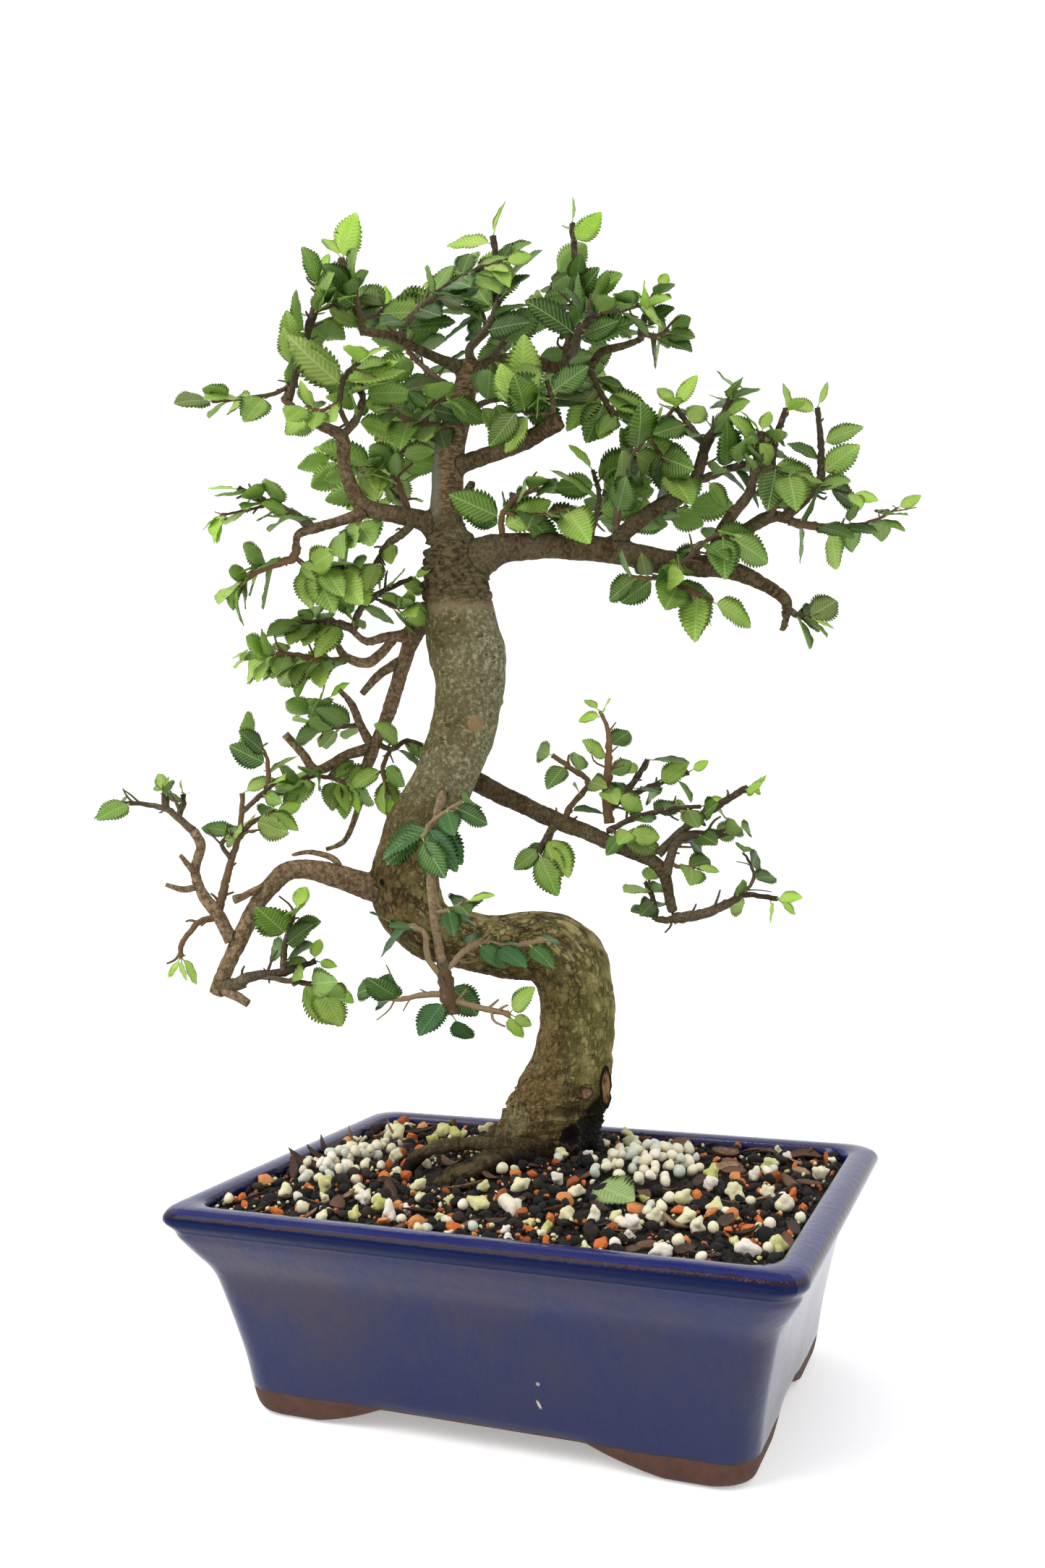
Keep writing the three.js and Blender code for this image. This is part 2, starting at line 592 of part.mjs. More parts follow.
      thick: [3.3, 2.2], leaves: 6, long: 12.3, from: 0.3, young: 3, droop: 0.2,
    },
  ],
  lower_right_arch: [
    {
      route: [[46, -12, 181], [49, -14, 192], [55, -15, 196], [65, -16, 196], [73, -17, 199]],
      thick: [3.6, 2.5], leaves: 5, long: 13.2, from: 0.4, young: 0, droop: 0.3,
    },
    {
      route: [[48, -13, 185], [51, -18, 184], [56, -21, 184]],
      thick: [1.7, 1.1], leaves: 3, long: 12.3, from: 0.6, young: 1, droop: 0.2,
    },
  ],
  lower_right_long: [
    {
      route: [[24, -2, 198], [35, -5, 203], [48, -8, 206], [60, -10, 207]],
      thick: [2.3, 1.4], leaves: 7, long: 13.2, from: 0.2, young: 1, droop: 0,
    },
    {
      route: [[25, -3, 199], [28, -14, 197], [32, -20, 198]],
      thick: [1.7, 1.1], leaves: 4, long: 13.2, from: 0.4, young: 0, droop: 0.4,
    },
  ],
  lower_right_up: [
    {
      route: [[25, -2, 201], [24, -3, 212], [25, -4, 226], [25, -4, 237], [22, -4, 245]],
      thick: [4, 1.1], leaves: 6, long: 11.4, from: 0.3, young: 3, droop: 0.2,
    },
    {
      route: [[24, -2, 206], [29, 1, 210], [35, 3, 217], [41, 4, 226]],
      thick: [3.4, 1.7], leaves: 4, long: 12.3, from: 0.3, young: 0, droop: 0.2,
    },
    {
      route: [[29, 1, 210], [44, 8, 216], [58, 12, 221]],
      thick: [2, 2], leaves: 4, long: 12.3, from: 0.3, young: 1, droop: 0.2,
    },
  ],
  lower_right_inner: [
    {
      route: [[7, 2, 201], [10, 0, 208], [17, -2, 217], [10, -3, 223], [3, -4, 228]],
      thick: [2.3, 1.7], leaves: 6, long: 12.3, from: 0.1, young: 0, droop: 0.3,
    },
    {
      route: [[16, -2, 217], [23, -6, 215], [28, -8, 212]],
      thick: [1.1, 0.8], leaves: 3, long: 13.2, from: 0.2, young: 0, droop: 0.3,
    },
  ],
  lower_right_hang: [
    {
      route: [[4, 3, 201], [0, -2, 195], [-3, -5, 190]],
      thick: [3.2, 2], leaves: 5, long: 13.2, from: 0.3, young: 0, droop: 0.8,
    },
  ],
  front_top: [
    {
      route: [[-42, -25, 202], [-44, -32, 201], [-46, -35, 197]],
      thick: [2.2, 1.3], leaves: 5, long: 15, from: 0.1, young: 0, droop: 0.5,
    },
    {
      route: [[-44, -31, 202], [-37, -34, 207], [-31, -35, 210]],
      thick: [1.3, 1.1], leaves: 4, long: 15, from: 0.2, young: 0, droop: 0.4,
    },
  ],
  front_middle: [
    {
      route: [[-41, -40, 170], [-36, -42, 171], [-30, -42, 174]],
      thick: [1.6, 1], leaves: 6, long: 14, from: 0.3, young: 1, droop: 0.4,
    },
  ],
  front_knot: [
    {
      route: [[-39, -44, 152], [-38, -45, 147], [-37, -46, 141], [-36, -46, 134]],
      thick: [4.6, 5.2], leaves: 3, long: 14, from: 0.3, young: 0, droop: 0.5,
    },
    {
      route: [[-38, -45, 149], [-31, -43, 156], [-25, -41, 159], [-15, -39, 157], [-2, -37, 159]],
      thick: [2.3, 1.6], leaves: 7, long: 13, from: 0.3, young: 0, droop: 0.4,
    },
    {
      route: [[-39, -45, 147], [-44, -46, 154], [-45, -46, 163], [-49, -46, 165], [-55, -46, 166]],
      thick: [2.3, 1.3], leaves: 3, long: 14, from: 0.7, young: 0, droop: 0.1,
    },
    {
      route: [[-38, -46, 141], [-46, -47, 141], [-52, -48, 140], [-57, -48, 140], [-62, -48, 144]],
      thick: [2.3, 1], leaves: 4, long: 14, from: 0.5, young: 0, droop: 0.2,
    },
    {
      route: [[-36, -46, 139], [-25, -48, 136], [-15, -49, 134]],
      thick: [2.3, 1.8], leaves: 3, long: 13, from: 0.85, young: 3, droop: 0,
    },
  ],
  crown_back_left: [
    {
      route: [[-30, 4, 374], [-43, 28, 389], [-56, 45, 407], [-66, 54, 426]],
      thick: [2.6, 1.6], leaves: 12, long: 17, from: 0.2, young: 1, droop: 0.2,
    },
    {
      route: [[-46, 31, 392], [-52, 48, 383], [-63, 58, 373]],
      thick: [1.8, 1.3], leaves: 8, long: 16, from: 0.2, young: 0, droop: 0.4,
    },
  ],
  crown_back_right: [
    {
      route: [[-26, 4, 378], [-12, 34, 406], [2, 50, 424], [12, 58, 446]],
      thick: [2.9, 1.6], leaves: 13, long: 17, from: 0.2, young: 1, droop: 0.2,
    },
    {
      route: [[-11, 35, 407], [6, 56, 403], [26, 66, 406]],
      thick: [1.8, 1.3], leaves: 9, long: 16, from: 0.2, young: 0, droop: 0.4,
    },
  ],
  right_back: [
    {
      route: [[15, -4, 308], [22, 22, 326], [35, 38, 341], [49, 46, 362]],
      thick: [2.8, 1.6], leaves: 10, long: 16, from: 0.2, young: 1, droop: 0.2,
    },
    {
      route: [[24, 24, 328], [45, 44, 331], [65, 54, 338]],
      thick: [1.8, 1.3], leaves: 8, long: 16, from: 0.2, young: 0, droop: 0.4,
    },
  ],
};

// Leaf blades
const LEAF_THICK = 1.3;
const LEAF_ROOT = 0.5;
const LEAF_HALF_WIDTH = 0.285;
const LEAF_CUP = 0.05;
const LEAF_DROOP = 0.1;
const LEAF_RIB_AT = 0.46;
// One side of the blade's toothed edge: share of the length, share of the half width
const LEAF_EDGE = [[0.38, 1], [0.5, 0.8], [0.74, 0.84]];
// A leaf's length over its twig's listed one: the growth, the least share, what a draw adds, and young ones
const LEAF_SIZE = { growth: 1.18, least: 0.78, draw: 0.4, young: 0.85, youngest: 0.62 };
// Where leaves stand on a twig, as shares of the space between two, and the pitch of young ones at its tip
const LEAF_SPOT = { least: 0.3, draw: 0.5, tipPitch: 0.06 };
// In radians, how far a leaf stands out from its twig, and how far its rank is turned round the twig
const LEAF_SPREAD = { least: 0.9, draw: 0.4, growingTip: 0.45, cutTip: 1 };
const LEAF_TURN = { twig: 1.4, leaf: 0.9 };
const LEAF_SINK = { least: 0.5, draw: 0.6 };
// What a leaf's face is turned to: a random scatter, the light above, away from the trunk, and the front
const LEAF_FACING = { scatter: 1.2, up: 0.5, outward: 0.25, front: 0.8, back: -0.7, backStarts: -25 };
// Counting back from a twig's tip, the solids keep one leaf in this many
const LEAF_CYCLE = 4;
const TWIG_RADIUS_LEAST = 0.75;
// How many sides a limb gets, by the widest radius on it
const LIMB_SIDES = [[12, 8], [5, 5], [3, 4], [0, 3]];
const TWIG_SIDES = 3;

const UP = new THREE.Vector3(0, 0, 1);
const VIEWER = new THREE.Vector3(0, -1, 0).applyAxisAngle(UP, TREE_TURN);

// A small generator of repeatable draws between 0 and 1
function draws(seed) {
  let state = (seed * 2654435761) >>> 0;
  const next = () => {
    state = (state * 1664525 + 1013904223) >>> 0;
    return state / 4294967296;
  };
  next();
  return next;
}

// A closed three.js geometry as a solid
function solid(geometry) {
  const bare = new THREE.BufferGeometry();
  bare.setAttribute('position', geometry.getAttribute('position'));
  bare.setIndex(geometry.index);
  const merged = mergeVertices(bare, 1e-4);
  return new Solid(new wasm.Mesh({
    numProp: 3,
    vertProperties: new Float32Array(merged.attributes.position.array),
    triVerts: new Uint32Array(merged.index.array),
  }));
}

// A solid as a flat-shaded three.js geometry
function geometryOf(made) {
  const { vertProperties, triVerts } = made.getMesh();
  const geometry = new THREE.BufferGeometry();
  geometry.setAttribute('position', new THREE.BufferAttribute(vertProperties, 3));
  geometry.setIndex(new THREE.BufferAttribute(triVerts, 1));
  geometry.computeVertexNormals();
  return geometry;
}

function largestBody(made) {
  return made.decompose().reduce((best, body) => (body.volume() > best.volume() ? body : best));
}

function join(solids) {
  return Solid.union(solids);
}

// Turns a point of the tree's front view into the pot's frame
function place([x, y, z]) {
  return new THREE.Vector3(x, y, z).applyAxisAngle(UP, TREE_TURN).add(TREE_FOOT);
}

// A smooth curve through points, by Catmull-Rom spans of equal share
function along(points, share) {
  const spans = points.length - 1;
  const span = Math.min(spans - 1, Math.floor(share * spans));
  const t = share * spans - span;
  const [a, b, c, d] = [span - 1, span, span + 1, span + 2]
    .map((index) => points[Math.max(0, Math.min(spans, index))]);
  const blend = (key) => 0.5 * (2 * b[key] + (c[key] - a[key]) * t
    + (2 * a[key] - 5 * b[key] + 4 * c[key] - d[key]) * t * t
    + (3 * b[key] - a[key] - 3 * c[key] + d[key]) * t * t * t);
  return new THREE.Vector3(blend('x'), blend('y'), blend('z'));
}

function headingAlong(points, share) {
  const ahead = along(points, Math.min(1, share + 0.02));
  return ahead.sub(along(points, Math.max(0, share - 0.02))).normalize();
}

// A round stem: a cylinder bent along the points, with a radius at each of them
function stem(points, radii, sides, extra = 0) {
  const steps = points.length - 1;
  const bent = new THREE.CylinderGeometry(1, 1, 1, sides, steps);
  const position = bent.attributes.position;
  const frames = [];
  let across = null;
  for (let step = 0; step <= steps; step += 1) {
    const heading = headingAlong(points, step / steps);
    const seedAxis = Math.abs(heading.z) > 0.9 ? new THREE.Vector3(1, 0, 0) : UP.clone();
    across = across ?? new THREE.Vector3().crossVectors(heading, seedAxis);
    across = across.clone().addScaledVector(heading, -across.dot(heading)).normalize();
    frames.push({ heading, across, side: new THREE.Vector3().crossVectors(across, heading) });
  }
  for (let index = 0; index < position.count; index += 1) {
    const step = Math.round((position.getY(index) + 0.5) * steps);
    const { heading, across: acrossHere, side } = frames[step];
    const end = step === 0 ? -extra : (step === steps) * extra;
    const radius = radii[step] + extra;
    const point = points[step].clone()
      .addScaledVector(acrossHere, position.getX(index) * radius)
      .addScaledVector(side, position.getZ(index) * radius)
      .addScaledVector(heading, end);
    position.setXYZ(index, point.x, point.y, point.z);
  }
  return solid(bent);
}

// A rounded rectangle's corner points, going round from above
function roundedOutline(halfWidth, halfDepth, corner) {
  const points = [];
  for (let quarter = 0; quarter < 4; quarter += 1) {
    const signX = quarter === 0 || quarter === 3 ? 1 : -1;
    const signY = quarter < 2 ? 1 : -1;
    for (let step = 0; step <= CORNER_STEPS; step += 1) {
      const angle = (quarter + step / CORNER_STEPS) * Math.PI / 2;
      points.push([
        signX * (halfWidth - corner) + corner * Math.cos(angle),
        signY * (halfDepth - corner) + corner * Math.sin(angle),
      ]);
    }
  }
  return points;
}

// A closed body through rounded rectangles, each row being an inset from the rim's outline and a height
function loft(rows, extraInset = 0) {
  const rings = rows.map(([inset, z]) => {
    const corner = THREE.MathUtils.lerp(RIM_CORNER, BODY_CORNER, Math.min(1, inset / 20));
    const outline = roundedOutline(
      RIM_WIDTH / 2 - inset - extraInset, RIM_DEPTH / 2 - inset - extraInset, corner);
    return outline.map(([x, y]) => [x, y, z]);
  });
  const count = rings[0].length;
  const positions = rings.flat(2);
  positions.push(0, 0, rows[0][1], 0, 0, rows.at(-1)[1]);
  const index = [];
  const bottomCentre = rings.length * count;
  for (let step = 0; step < count; step += 1) {
    const next = (step + 1) % count;
    for (let ring = 0; ring < rings.length - 1; ring += 1) {
      const low = ring * count;
      const high = low + count;
      index.push(low + step, low + next, high + next, low + step, high + next, high + step);
    }
    const top = (rings.length - 1) * count;
    index.push(bottomCentre, next, step, bottomCentre + 1, top + step, top + next);
  }
  const geometry = new THREE.BufferGeometry();
  geometry.setAttribute('position', new THREE.Float32BufferAttribute(positions, 3));
  geometry.setIndex(index);
  return solid(geometry);
}

function box(width, depth, height, x, y, z) {
  return solid(new THREE.BoxGeometry(width, depth, height).translate(x, y, z));
}

// The arched opening between two feet, running right through the pot along one direction
function scoop([halfGround, halfSkirt], run, turned) {
  const shape = new THREE.Shape();
  shape.moveTo(-halfGround, -1);
  shape.lineTo(halfGround, -1);
  shape.lineTo(halfGround, 0);
  shape.quadraticCurveTo((halfGround + halfSkirt) / 2, SKIRT_BOTTOM * 0.25, halfSkirt, SKIRT_BOTTOM);
  shape.lineTo(-halfSkirt, SKIRT_BOTTOM);
  shape.quadraticCurveTo(-(halfGround + halfSkirt) / 2, SKIRT_BOTTOM * 0.25, -halfGround, 0);
  const cut = new THREE.ExtrudeGeometry(shape, { depth: run, bevelEnabled: false, curveSegments: 4 });
  cut.translate(0, 0, -run / 2).rotateX(Math.PI / 2);
  return solid(turned ? cut.rotateZ(Math.PI / 2) : cut);
}

// One fired body: flared wall, rolled lip, feet and skirt, with two drain holes in its floor
function makePot() {
  const cavity = [...INNER_WALL].reverse();
  cavity.push([7, POT_HEIGHT + 1]);
  const underside = [[24 + FOOT_WALL, -1], [22 + FOOT_WALL, SKIRT_BOTTOM + 1]];
  const drains = [-1, 1].map((side) => solid(
    new THREE.CylinderGeometry(DRAIN_RADIUS, DRAIN_RADIUS, FLOOR_TOP + 4, 12)
      .rotateX(Math.PI / 2).translate(side * DRAIN_SPACING / 2, 0, FLOOR_TOP / 2)));
  const cuts = join([
    loft(cavity), loft(underside), scoop(FRONT_SCOOP, RIM_DEPTH, false), scoop(SIDE_SCOOP, RIM_WIDTH, true),
    ...drains,
  ]);
  return loft(OUTER_WALL).subtract(cuts);
}

function makeScreen() {
  const z = FLOOR_TOP + GAP + SCREEN.thick / 2;
  const sheet = box(SCREEN.length, SCREEN.width, SCREEN.thick, 0, 0, z);
  const openings = [];
  for (let column = 0; column < SCREEN.columns; column += 1) {
    for (let row = 0; row < SCREEN.rows; row += 1) {
      const x = (column - (SCREEN.columns - 1) / 2) * (SCREEN.length / SCREEN.columns);
      const y = (row - (SCREEN.rows - 1) / 2) * (SCREEN.width / SCREEN.rows);
      openings.push(box(SCREEN.opening, SCREEN.opening, SCREEN.thick * 2, x, y, z));
    }
  }
  return sheet.subtract(join(openings));
}

// The soil's height over a point of the pot, before its grain
function soilHeight(x, y) {
  const away = ((x - MOUND.x) ** 2 + (y - MOUND.y) ** 2) / (2 * MOUND.spread ** 2);
  return SOIL_LEVEL + MOUND.rise * Math.exp(-away);
}

function insideHeap(x, y, margin) {
  return Object.values(HEAPS).some((heap) => (
    ((x - heap.x) / (heap.radiusX + margin)) ** 2 + ((y - heap.y) / (heap.radiusY + margin)) ** 2 < 1));
}

// The soil block: its top is raised in lumps by a rule, and it fills the pot down to the floor
function makeSoil(treeRoom, screenRoom) {
  const draw = draws(3);
  const width = RIM_WIDTH - 2 * SOIL_INSET;
  const depth = RIM_DEPTH - 2 * SOIL_INSET;
  const columns = Math.round(width / SOIL_CELL);
  const rows = Math.round(depth / SOIL_CELL);
  const ground = new THREE.BoxGeometry(width, depth, 2, columns, rows, 1);
  const position = ground.attributes.position;
  const relief = new Map();
  for (let index = 0; index < position.count; index += 1) {
    const [x, y] = [position.getX(index), position.getY(index)];
    const key = `${Math.round(x)} ${Math.round(y)}`;
    if (!relief.has(key)) relief.set(key, SOIL_RELIEF * (2 * draw() - 1));
    const bed = insideHeap(x, y, SOIL_CELL / 2);
    const top = bed ? HEAP_BED - GAP : soilHeight(x, y) + relief.get(key);
    position.setZ(index, position.getZ(index) > 0 ? top : 0);
  }
  const lumps = [];
  while (lumps.length < SOIL_LUMPS + SOIL_CHIPS) {
    const x = (draw() - 0.5) * (width - 2 * LUMP.edge);
    const y = (draw() - 0.5) * (depth - 2 * LUMP.edge);
    const byLeaf = Math.hypot(x - FALLEN_LEAF.x, y - FALLEN_LEAF.y) < LUMP.offLeaf;
    if (byLeaf || insideHeap(x, y, LUMP.offHeap)) continue;
    const chip = lumps.length >= SOIL_LUMPS;
    const size = LUMP.least + LUMP.draw * draw();
    const shape = chip
      ? new THREE.BoxGeometry(LUMP.chip[0] * size, LUMP.chip[1] * size, LUMP.chipThick)
      : new THREE.IcosahedronGeometry(size, 0).scale(...LUMP.round);
    shape.rotateX(chip ? LUMP.chipTilt : 6 * draw()).rotateZ(6 * draw());
    lumps.push(solid(shape.translate(x, y, soilHeight(x, y) + LUMP.raised)));
  }
  const rowsInPot = [...INNER_WALL].reverse().map(([inset, z]) => [inset, z]);
  rowsInPot[0][1] = FLOOR_TOP + GAP;
  rowsInPot.push([SOIL_INSET, POT_HEIGHT + SOIL_INSET]);
  const filling = loft(rowsInPot, GAP).intersect(join([solid(ground), ...lumps]));
  return largestBody(filling.subtract(join([treeRoom, screenRoom])));
}

// A heap of round pellets, sunk into each other and lying on the soil
function makeHeap(heap, below) {
  const draw = draws(heap.seed);
  const balls = [];
  for (let x = -heap.radiusX; x <= heap.radiusX; x += PELLET_PITCH) {
    for (let y = -heap.radiusY; y <= heap.radiusY; y += PELLET_PITCH) {
      const away = Math.hypot(x / heap.radiusX, y / heap.radiusY);
      const radius = PELLET_RADIUS * (PELLET_SIZE.least + PELLET_SIZE.draw * draw());
      const shiftX = (draw() - 0.5) * PELLET_STRAY;
      const shiftY = (draw() - 0.5) * PELLET_STRAY;
      if (away > 1) continue;
      const [ballX, ballY] = [heap.x + x + shiftX, heap.y + y + shiftY];
      const lift = PELLET_LIFT.edge + PELLET_LIFT.middle * (1 - away) + draw();
      balls.push(solid(new THREE.IcosahedronGeometry(radius, 0)
        .rotateX(6 * draw()).rotateY(6 * draw())
        .translate(ballX, ballY, HEAP_BED + lift)));
    }
  }
  return largestBody(join(balls).subtract(below));
}

// One blade: a toothed outline with a rib point above and below it, cupped, its tip drooping
function blade({ root, heading, normal, length, width }, extra = 0) {
  const across = new THREE.Vector3().crossVectors(normal, heading);
  const point = (share, side, lift) => root.clone()
    .addScaledVector(heading, share * length)
    .addScaledVector(across, side)
    .addScaledVector(normal, lift * length);
  const half = width + extra;
  const tip = 1 + extra / length;
  const edge = (sign) => LEAF_EDGE.map(([share, out]) => (
    point(share, sign * half * out, LEAF_CUP * out - LEAF_DROOP * share * share)));
  const outline = [
    point(-LEAF_ROOT / length, 0, 0), ...edge(-1), point(tip, 0, -LEAF_DROOP), ...edge(1).reverse(),
  ];
  const rib = point(LEAF_RIB_AT, 0, -LEAF_DROOP * LEAF_RIB_AT ** 2);
  const thick = LEAF_THICK / 2 + extra;
  const positions = [...outline, rib.clone().addScaledVector(normal, thick),
    rib.clone().addScaledVector(normal, -thick)].flatMap((vertex) => vertex.toArray());
  const count = outline.length;
  const index = [];
  for (let step = 0; step < count; step += 1) {
    const next = (step + 1) % count;
    index.push(count, step, next, count + 1, next, step);
  }
  const geometry = new THREE.BufferGeometry();
  geometry.setAttribute('position', new THREE.Float32BufferAttribute(positions, 3));
  geometry.setIndex(index);
  return solid(geometry);
}

// The leaves of one twig: alternate along it, in two ranks turned by a draw, the last one ending it
function leavesOf(twig, seed) {
  const draw = draws(seed);
  const points = twig.route.map(place);
  const roll = (draw() - 0.5) * LEAF_TURN.twig;
  const leaves = [];
  for (let number = 0; number < twig.leaves; number += 1) {
    const fromTip = twig.leaves - 1 - number;
    const last = fromTip === 0;
    const young = fromTip < twig.young;
    let spot = last ? 1 : (number + LEAF_SPOT.least + LEAF_SPOT.draw * draw()) / twig.leaves;
    if (young) spot = 1 - LEAF_SPOT.tipPitch * fromTip;
    const share = twig.from + (1 - twig.from) * spot;
    const stemHeading = headingAlong(points, share);
    const flat = new THREE.Vector3().crossVectors(stemHeading, UP);
    if (flat.length() < 0.3) flat.set(Math.cos(6 * roll), Math.sin(6 * roll), 0);
    flat.normalize();
    const raised = new THREE.Vector3().crossVectors(flat, stemHeading);
    const turn = roll + (draw() - 0.5) * LEAF_TURN.leaf;
    const rank = flat.multiplyScalar(Math.cos(turn)).addScaledVector(raised, Math.sin(turn));
    const tipSpread = twig.young ? LEAF_SPREAD.growingTip : LEAF_SPREAD.cutTip;
    const spread = last ? tipSpread : LEAF_SPREAD.least + LEAF_SPREAD.draw * draw();
    const side = number % 2 ? 1 : -1;
    const root = along(points, share);
    const heading = stemHeading.multiplyScalar(Math.cos(spread))
      .addScaledVector(rank, side * Math.sin(spread));
    heading.z -= twig.droop * (LEAF_SINK.least + LEAF_SINK.draw * draw());
    heading.normalize();
    const reach = root.clone().sub(TREE_FOOT);
    const front = reach.dot(VIEWER) > LEAF_FACING.backStarts ? LEAF_FACING.front : LEAF_FACING.back;
    const normal = new THREE.Vector3(draw() - 0.5, draw() - 0.5, draw() - 0.5)
      .multiplyScalar(LEAF_FACING.scatter)
      .addScaledVector(UP, LEAF_FACING.up)
      .addScaledVector(reach.setZ(0).normalize(), LEAF_FACING.outward)
      .addScaledVector(VIEWER, front);
    normal.addScaledVector(heading, -normal.dot(heading)).normalize();
    let length = twig.long * LEAF_SIZE.growth * (LEAF_SIZE.least + LEAF_SIZE.draw * draw());
    if (young) length *= last ? LEAF_SIZE.youngest : LEAF_SIZE.young;
    leaves.push({ root, heading, normal, length, width: length * LEAF_HALF_WIDTH });
  }
  return leaves;
}

function limbSolids(extra) {
  return Object.values(LIMBS).map((limb) => {
    const radii = limb.map((row) => row[3]);
    const widest = Math.max(...radii);
    const sides = LIMB_SIDES.find(([radius]) => widest > radius)[1];
    return stem(limb.map(place), radii, sides, extra);
  });
}

function twigSolid(twig, extra = 0) {
  const [start, end] = twig.thick;
  const spans = twig.route.length - 1;
  const radii = twig.route.map((point, index) => (
    Math.max(TWIG_RADIUS_LEAST, THREE.MathUtils.lerp(start, end, index / spans) / 2)));
  return stem(twig.route.map(place), radii, TWIG_SIDES, extra);
}

function boxesMeet(one, other) {
  const [a, b] = [one.boundingBox(), other.boundingBox()];
  return [0, 1, 2].every((axis) => a.min[axis] < b.max[axis] && b.min[axis] < a.max[axis]);
}

function meets(one, others) {
  return others.some((other) => boxesMeet(one, other) && one.intersect(other).volume() > 0);
}

// Every spray: its twigs joined, cut clear of the limbs and of other sprays, with the leaves that fit
function makeSprays(limbRoom) {
  const twigRoom = new Map();
  const sprays = new Map();
  for (const [name, twigs] of Object.entries(SPRAYS)) {
    const taken = [limbRoom, ...[...twigRoom.values()].flat()];
    const wood = join(twigs.map((twig) => twigSolid(twig)));
    const near = taken.filter((other) => boxesMeet(wood, other));
    sprays.set(name, [largestBody(wood.subtract(join(near)))]);
    twigRoom.set(name, twigs.map((twig) => twigSolid(twig, GAP)));
  }
  let seed = 100;
  const leafRoom = new Map();
  for (const [name, twigs] of Object.entries(SPRAYS)) {
    const others = [limbRoom];
    twigRoom.forEach((rooms, other) => other !== name && others.push(...rooms));
    leafRoom.forEach((rooms) => others.push(...rooms));
    const ownRoom = [];
    for (const twig of twigs) {
      const ownLeaves = sprays.get(name);
      leavesOf(twig, seed).reverse().forEach((leaf, number) => {
        if (number % LEAF_CYCLE !== 0) return;
        const made = blade(leaf);
        const rooted = meets(made, [ownLeaves[0]]);
        if (!rooted || meets(made, others) || meets(made, ownLeaves.slice(1))) return;
        ownLeaves.push(made);
        ownRoom.push(blade(leaf, GAP));
      });
      seed += 1;
    }
    leafRoom.set(name, ownRoom);
  }
  return [...sprays].map(([name, pieces]) => [name, largestBody(join(pieces))]);
}

const glaze = () => new THREE.MeshStandardMaterial({ color: '#28325f', roughness: 0.22, metalness: 0 });
const plastic = () => new THREE.MeshStandardMaterial({ color: '#2b2b2b', roughness: 0.6, metalness: 0 });
const earth = () => new THREE.MeshStandardMaterial({ color: '#2c221c', roughness: 0.95, metalness: 0 });
const pellet = () => new THREE.MeshStandardMaterial({ color: '#d9d2be', roughness: 0.8, metalness: 0 });
const bark = () => new THREE.MeshStandardMaterial({ color: '#75684c', roughness: 0.9, metalness: 0 });
const foliage = () => new THREE.MeshStandardMaterial({ color: '#4f7f35', roughness: 0.5, metalness: 0 });

const part = new THREE.Group();

function add(name, made, material) {
  const mesh = new THREE.Mesh(geometryOf(made), material);
  mesh.name = name;
  part.add(mesh);
}

const limbRoom = join(limbSolids(GAP));
const screen = makeScreen();
const screenRoom = box(
  SCREEN.length + 2 * GAP, SCREEN.width + 2 * GAP, SCREEN.thick + 2 * GAP,
  0, 0, FLOOR_TOP + GAP + SCREEN.thick / 2);
const soil = makeSoil(limbRoom, screenRoom);
const soilRoom = join([soil, soil.translate(0, 0, GAP)]);

add('pot', makePot(), glaze());
add('drainage_screen', screen, plastic());
add('soil', soil, earth());
add('tree', largestBody(join(limbSolids(0))), bark());
for (const [name, heap] of Object.entries(HEAPS)) {
  add(name, makeHeap(heap, join([soilRoom, limbRoom])), pellet());
}
const fallen = {
  root: new THREE.Vector3(
    FALLEN_LEAF.x, FALLEN_LEAF.y, soilHeight(FALLEN_LEAF.x, FALLEN_LEAF.y) + FALLEN_LEAF.raised),
  heading: new THREE.Vector3(Math.cos(FALLEN_LEAF.heading), Math.sin(FALLEN_LEAF.heading), 0),
  normal: UP,
  length: FALLEN_LEAF.length,
  width: FALLEN_LEAF.length * LEAF_HALF_WIDTH,
};
add('fallen_leaf', largestBody(blade(fallen).subtract(soilRoom)), foliage());
for (const [name, made] of makeSprays(limbRoom)) add(name, made, foliage());

// The origin goes to the centre of the whole object's box, on the ground
const extent = new THREE.Box3().setFromObject(part);
const centre = extent.getCenter(new THREE.Vector3());
part.position.set(-centre.x, -centre.y, -extent.min.z);

export default part;
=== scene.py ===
import math

import bmesh
import bpy
import numpy as np
from mathutils import Matrix, Vector, noise


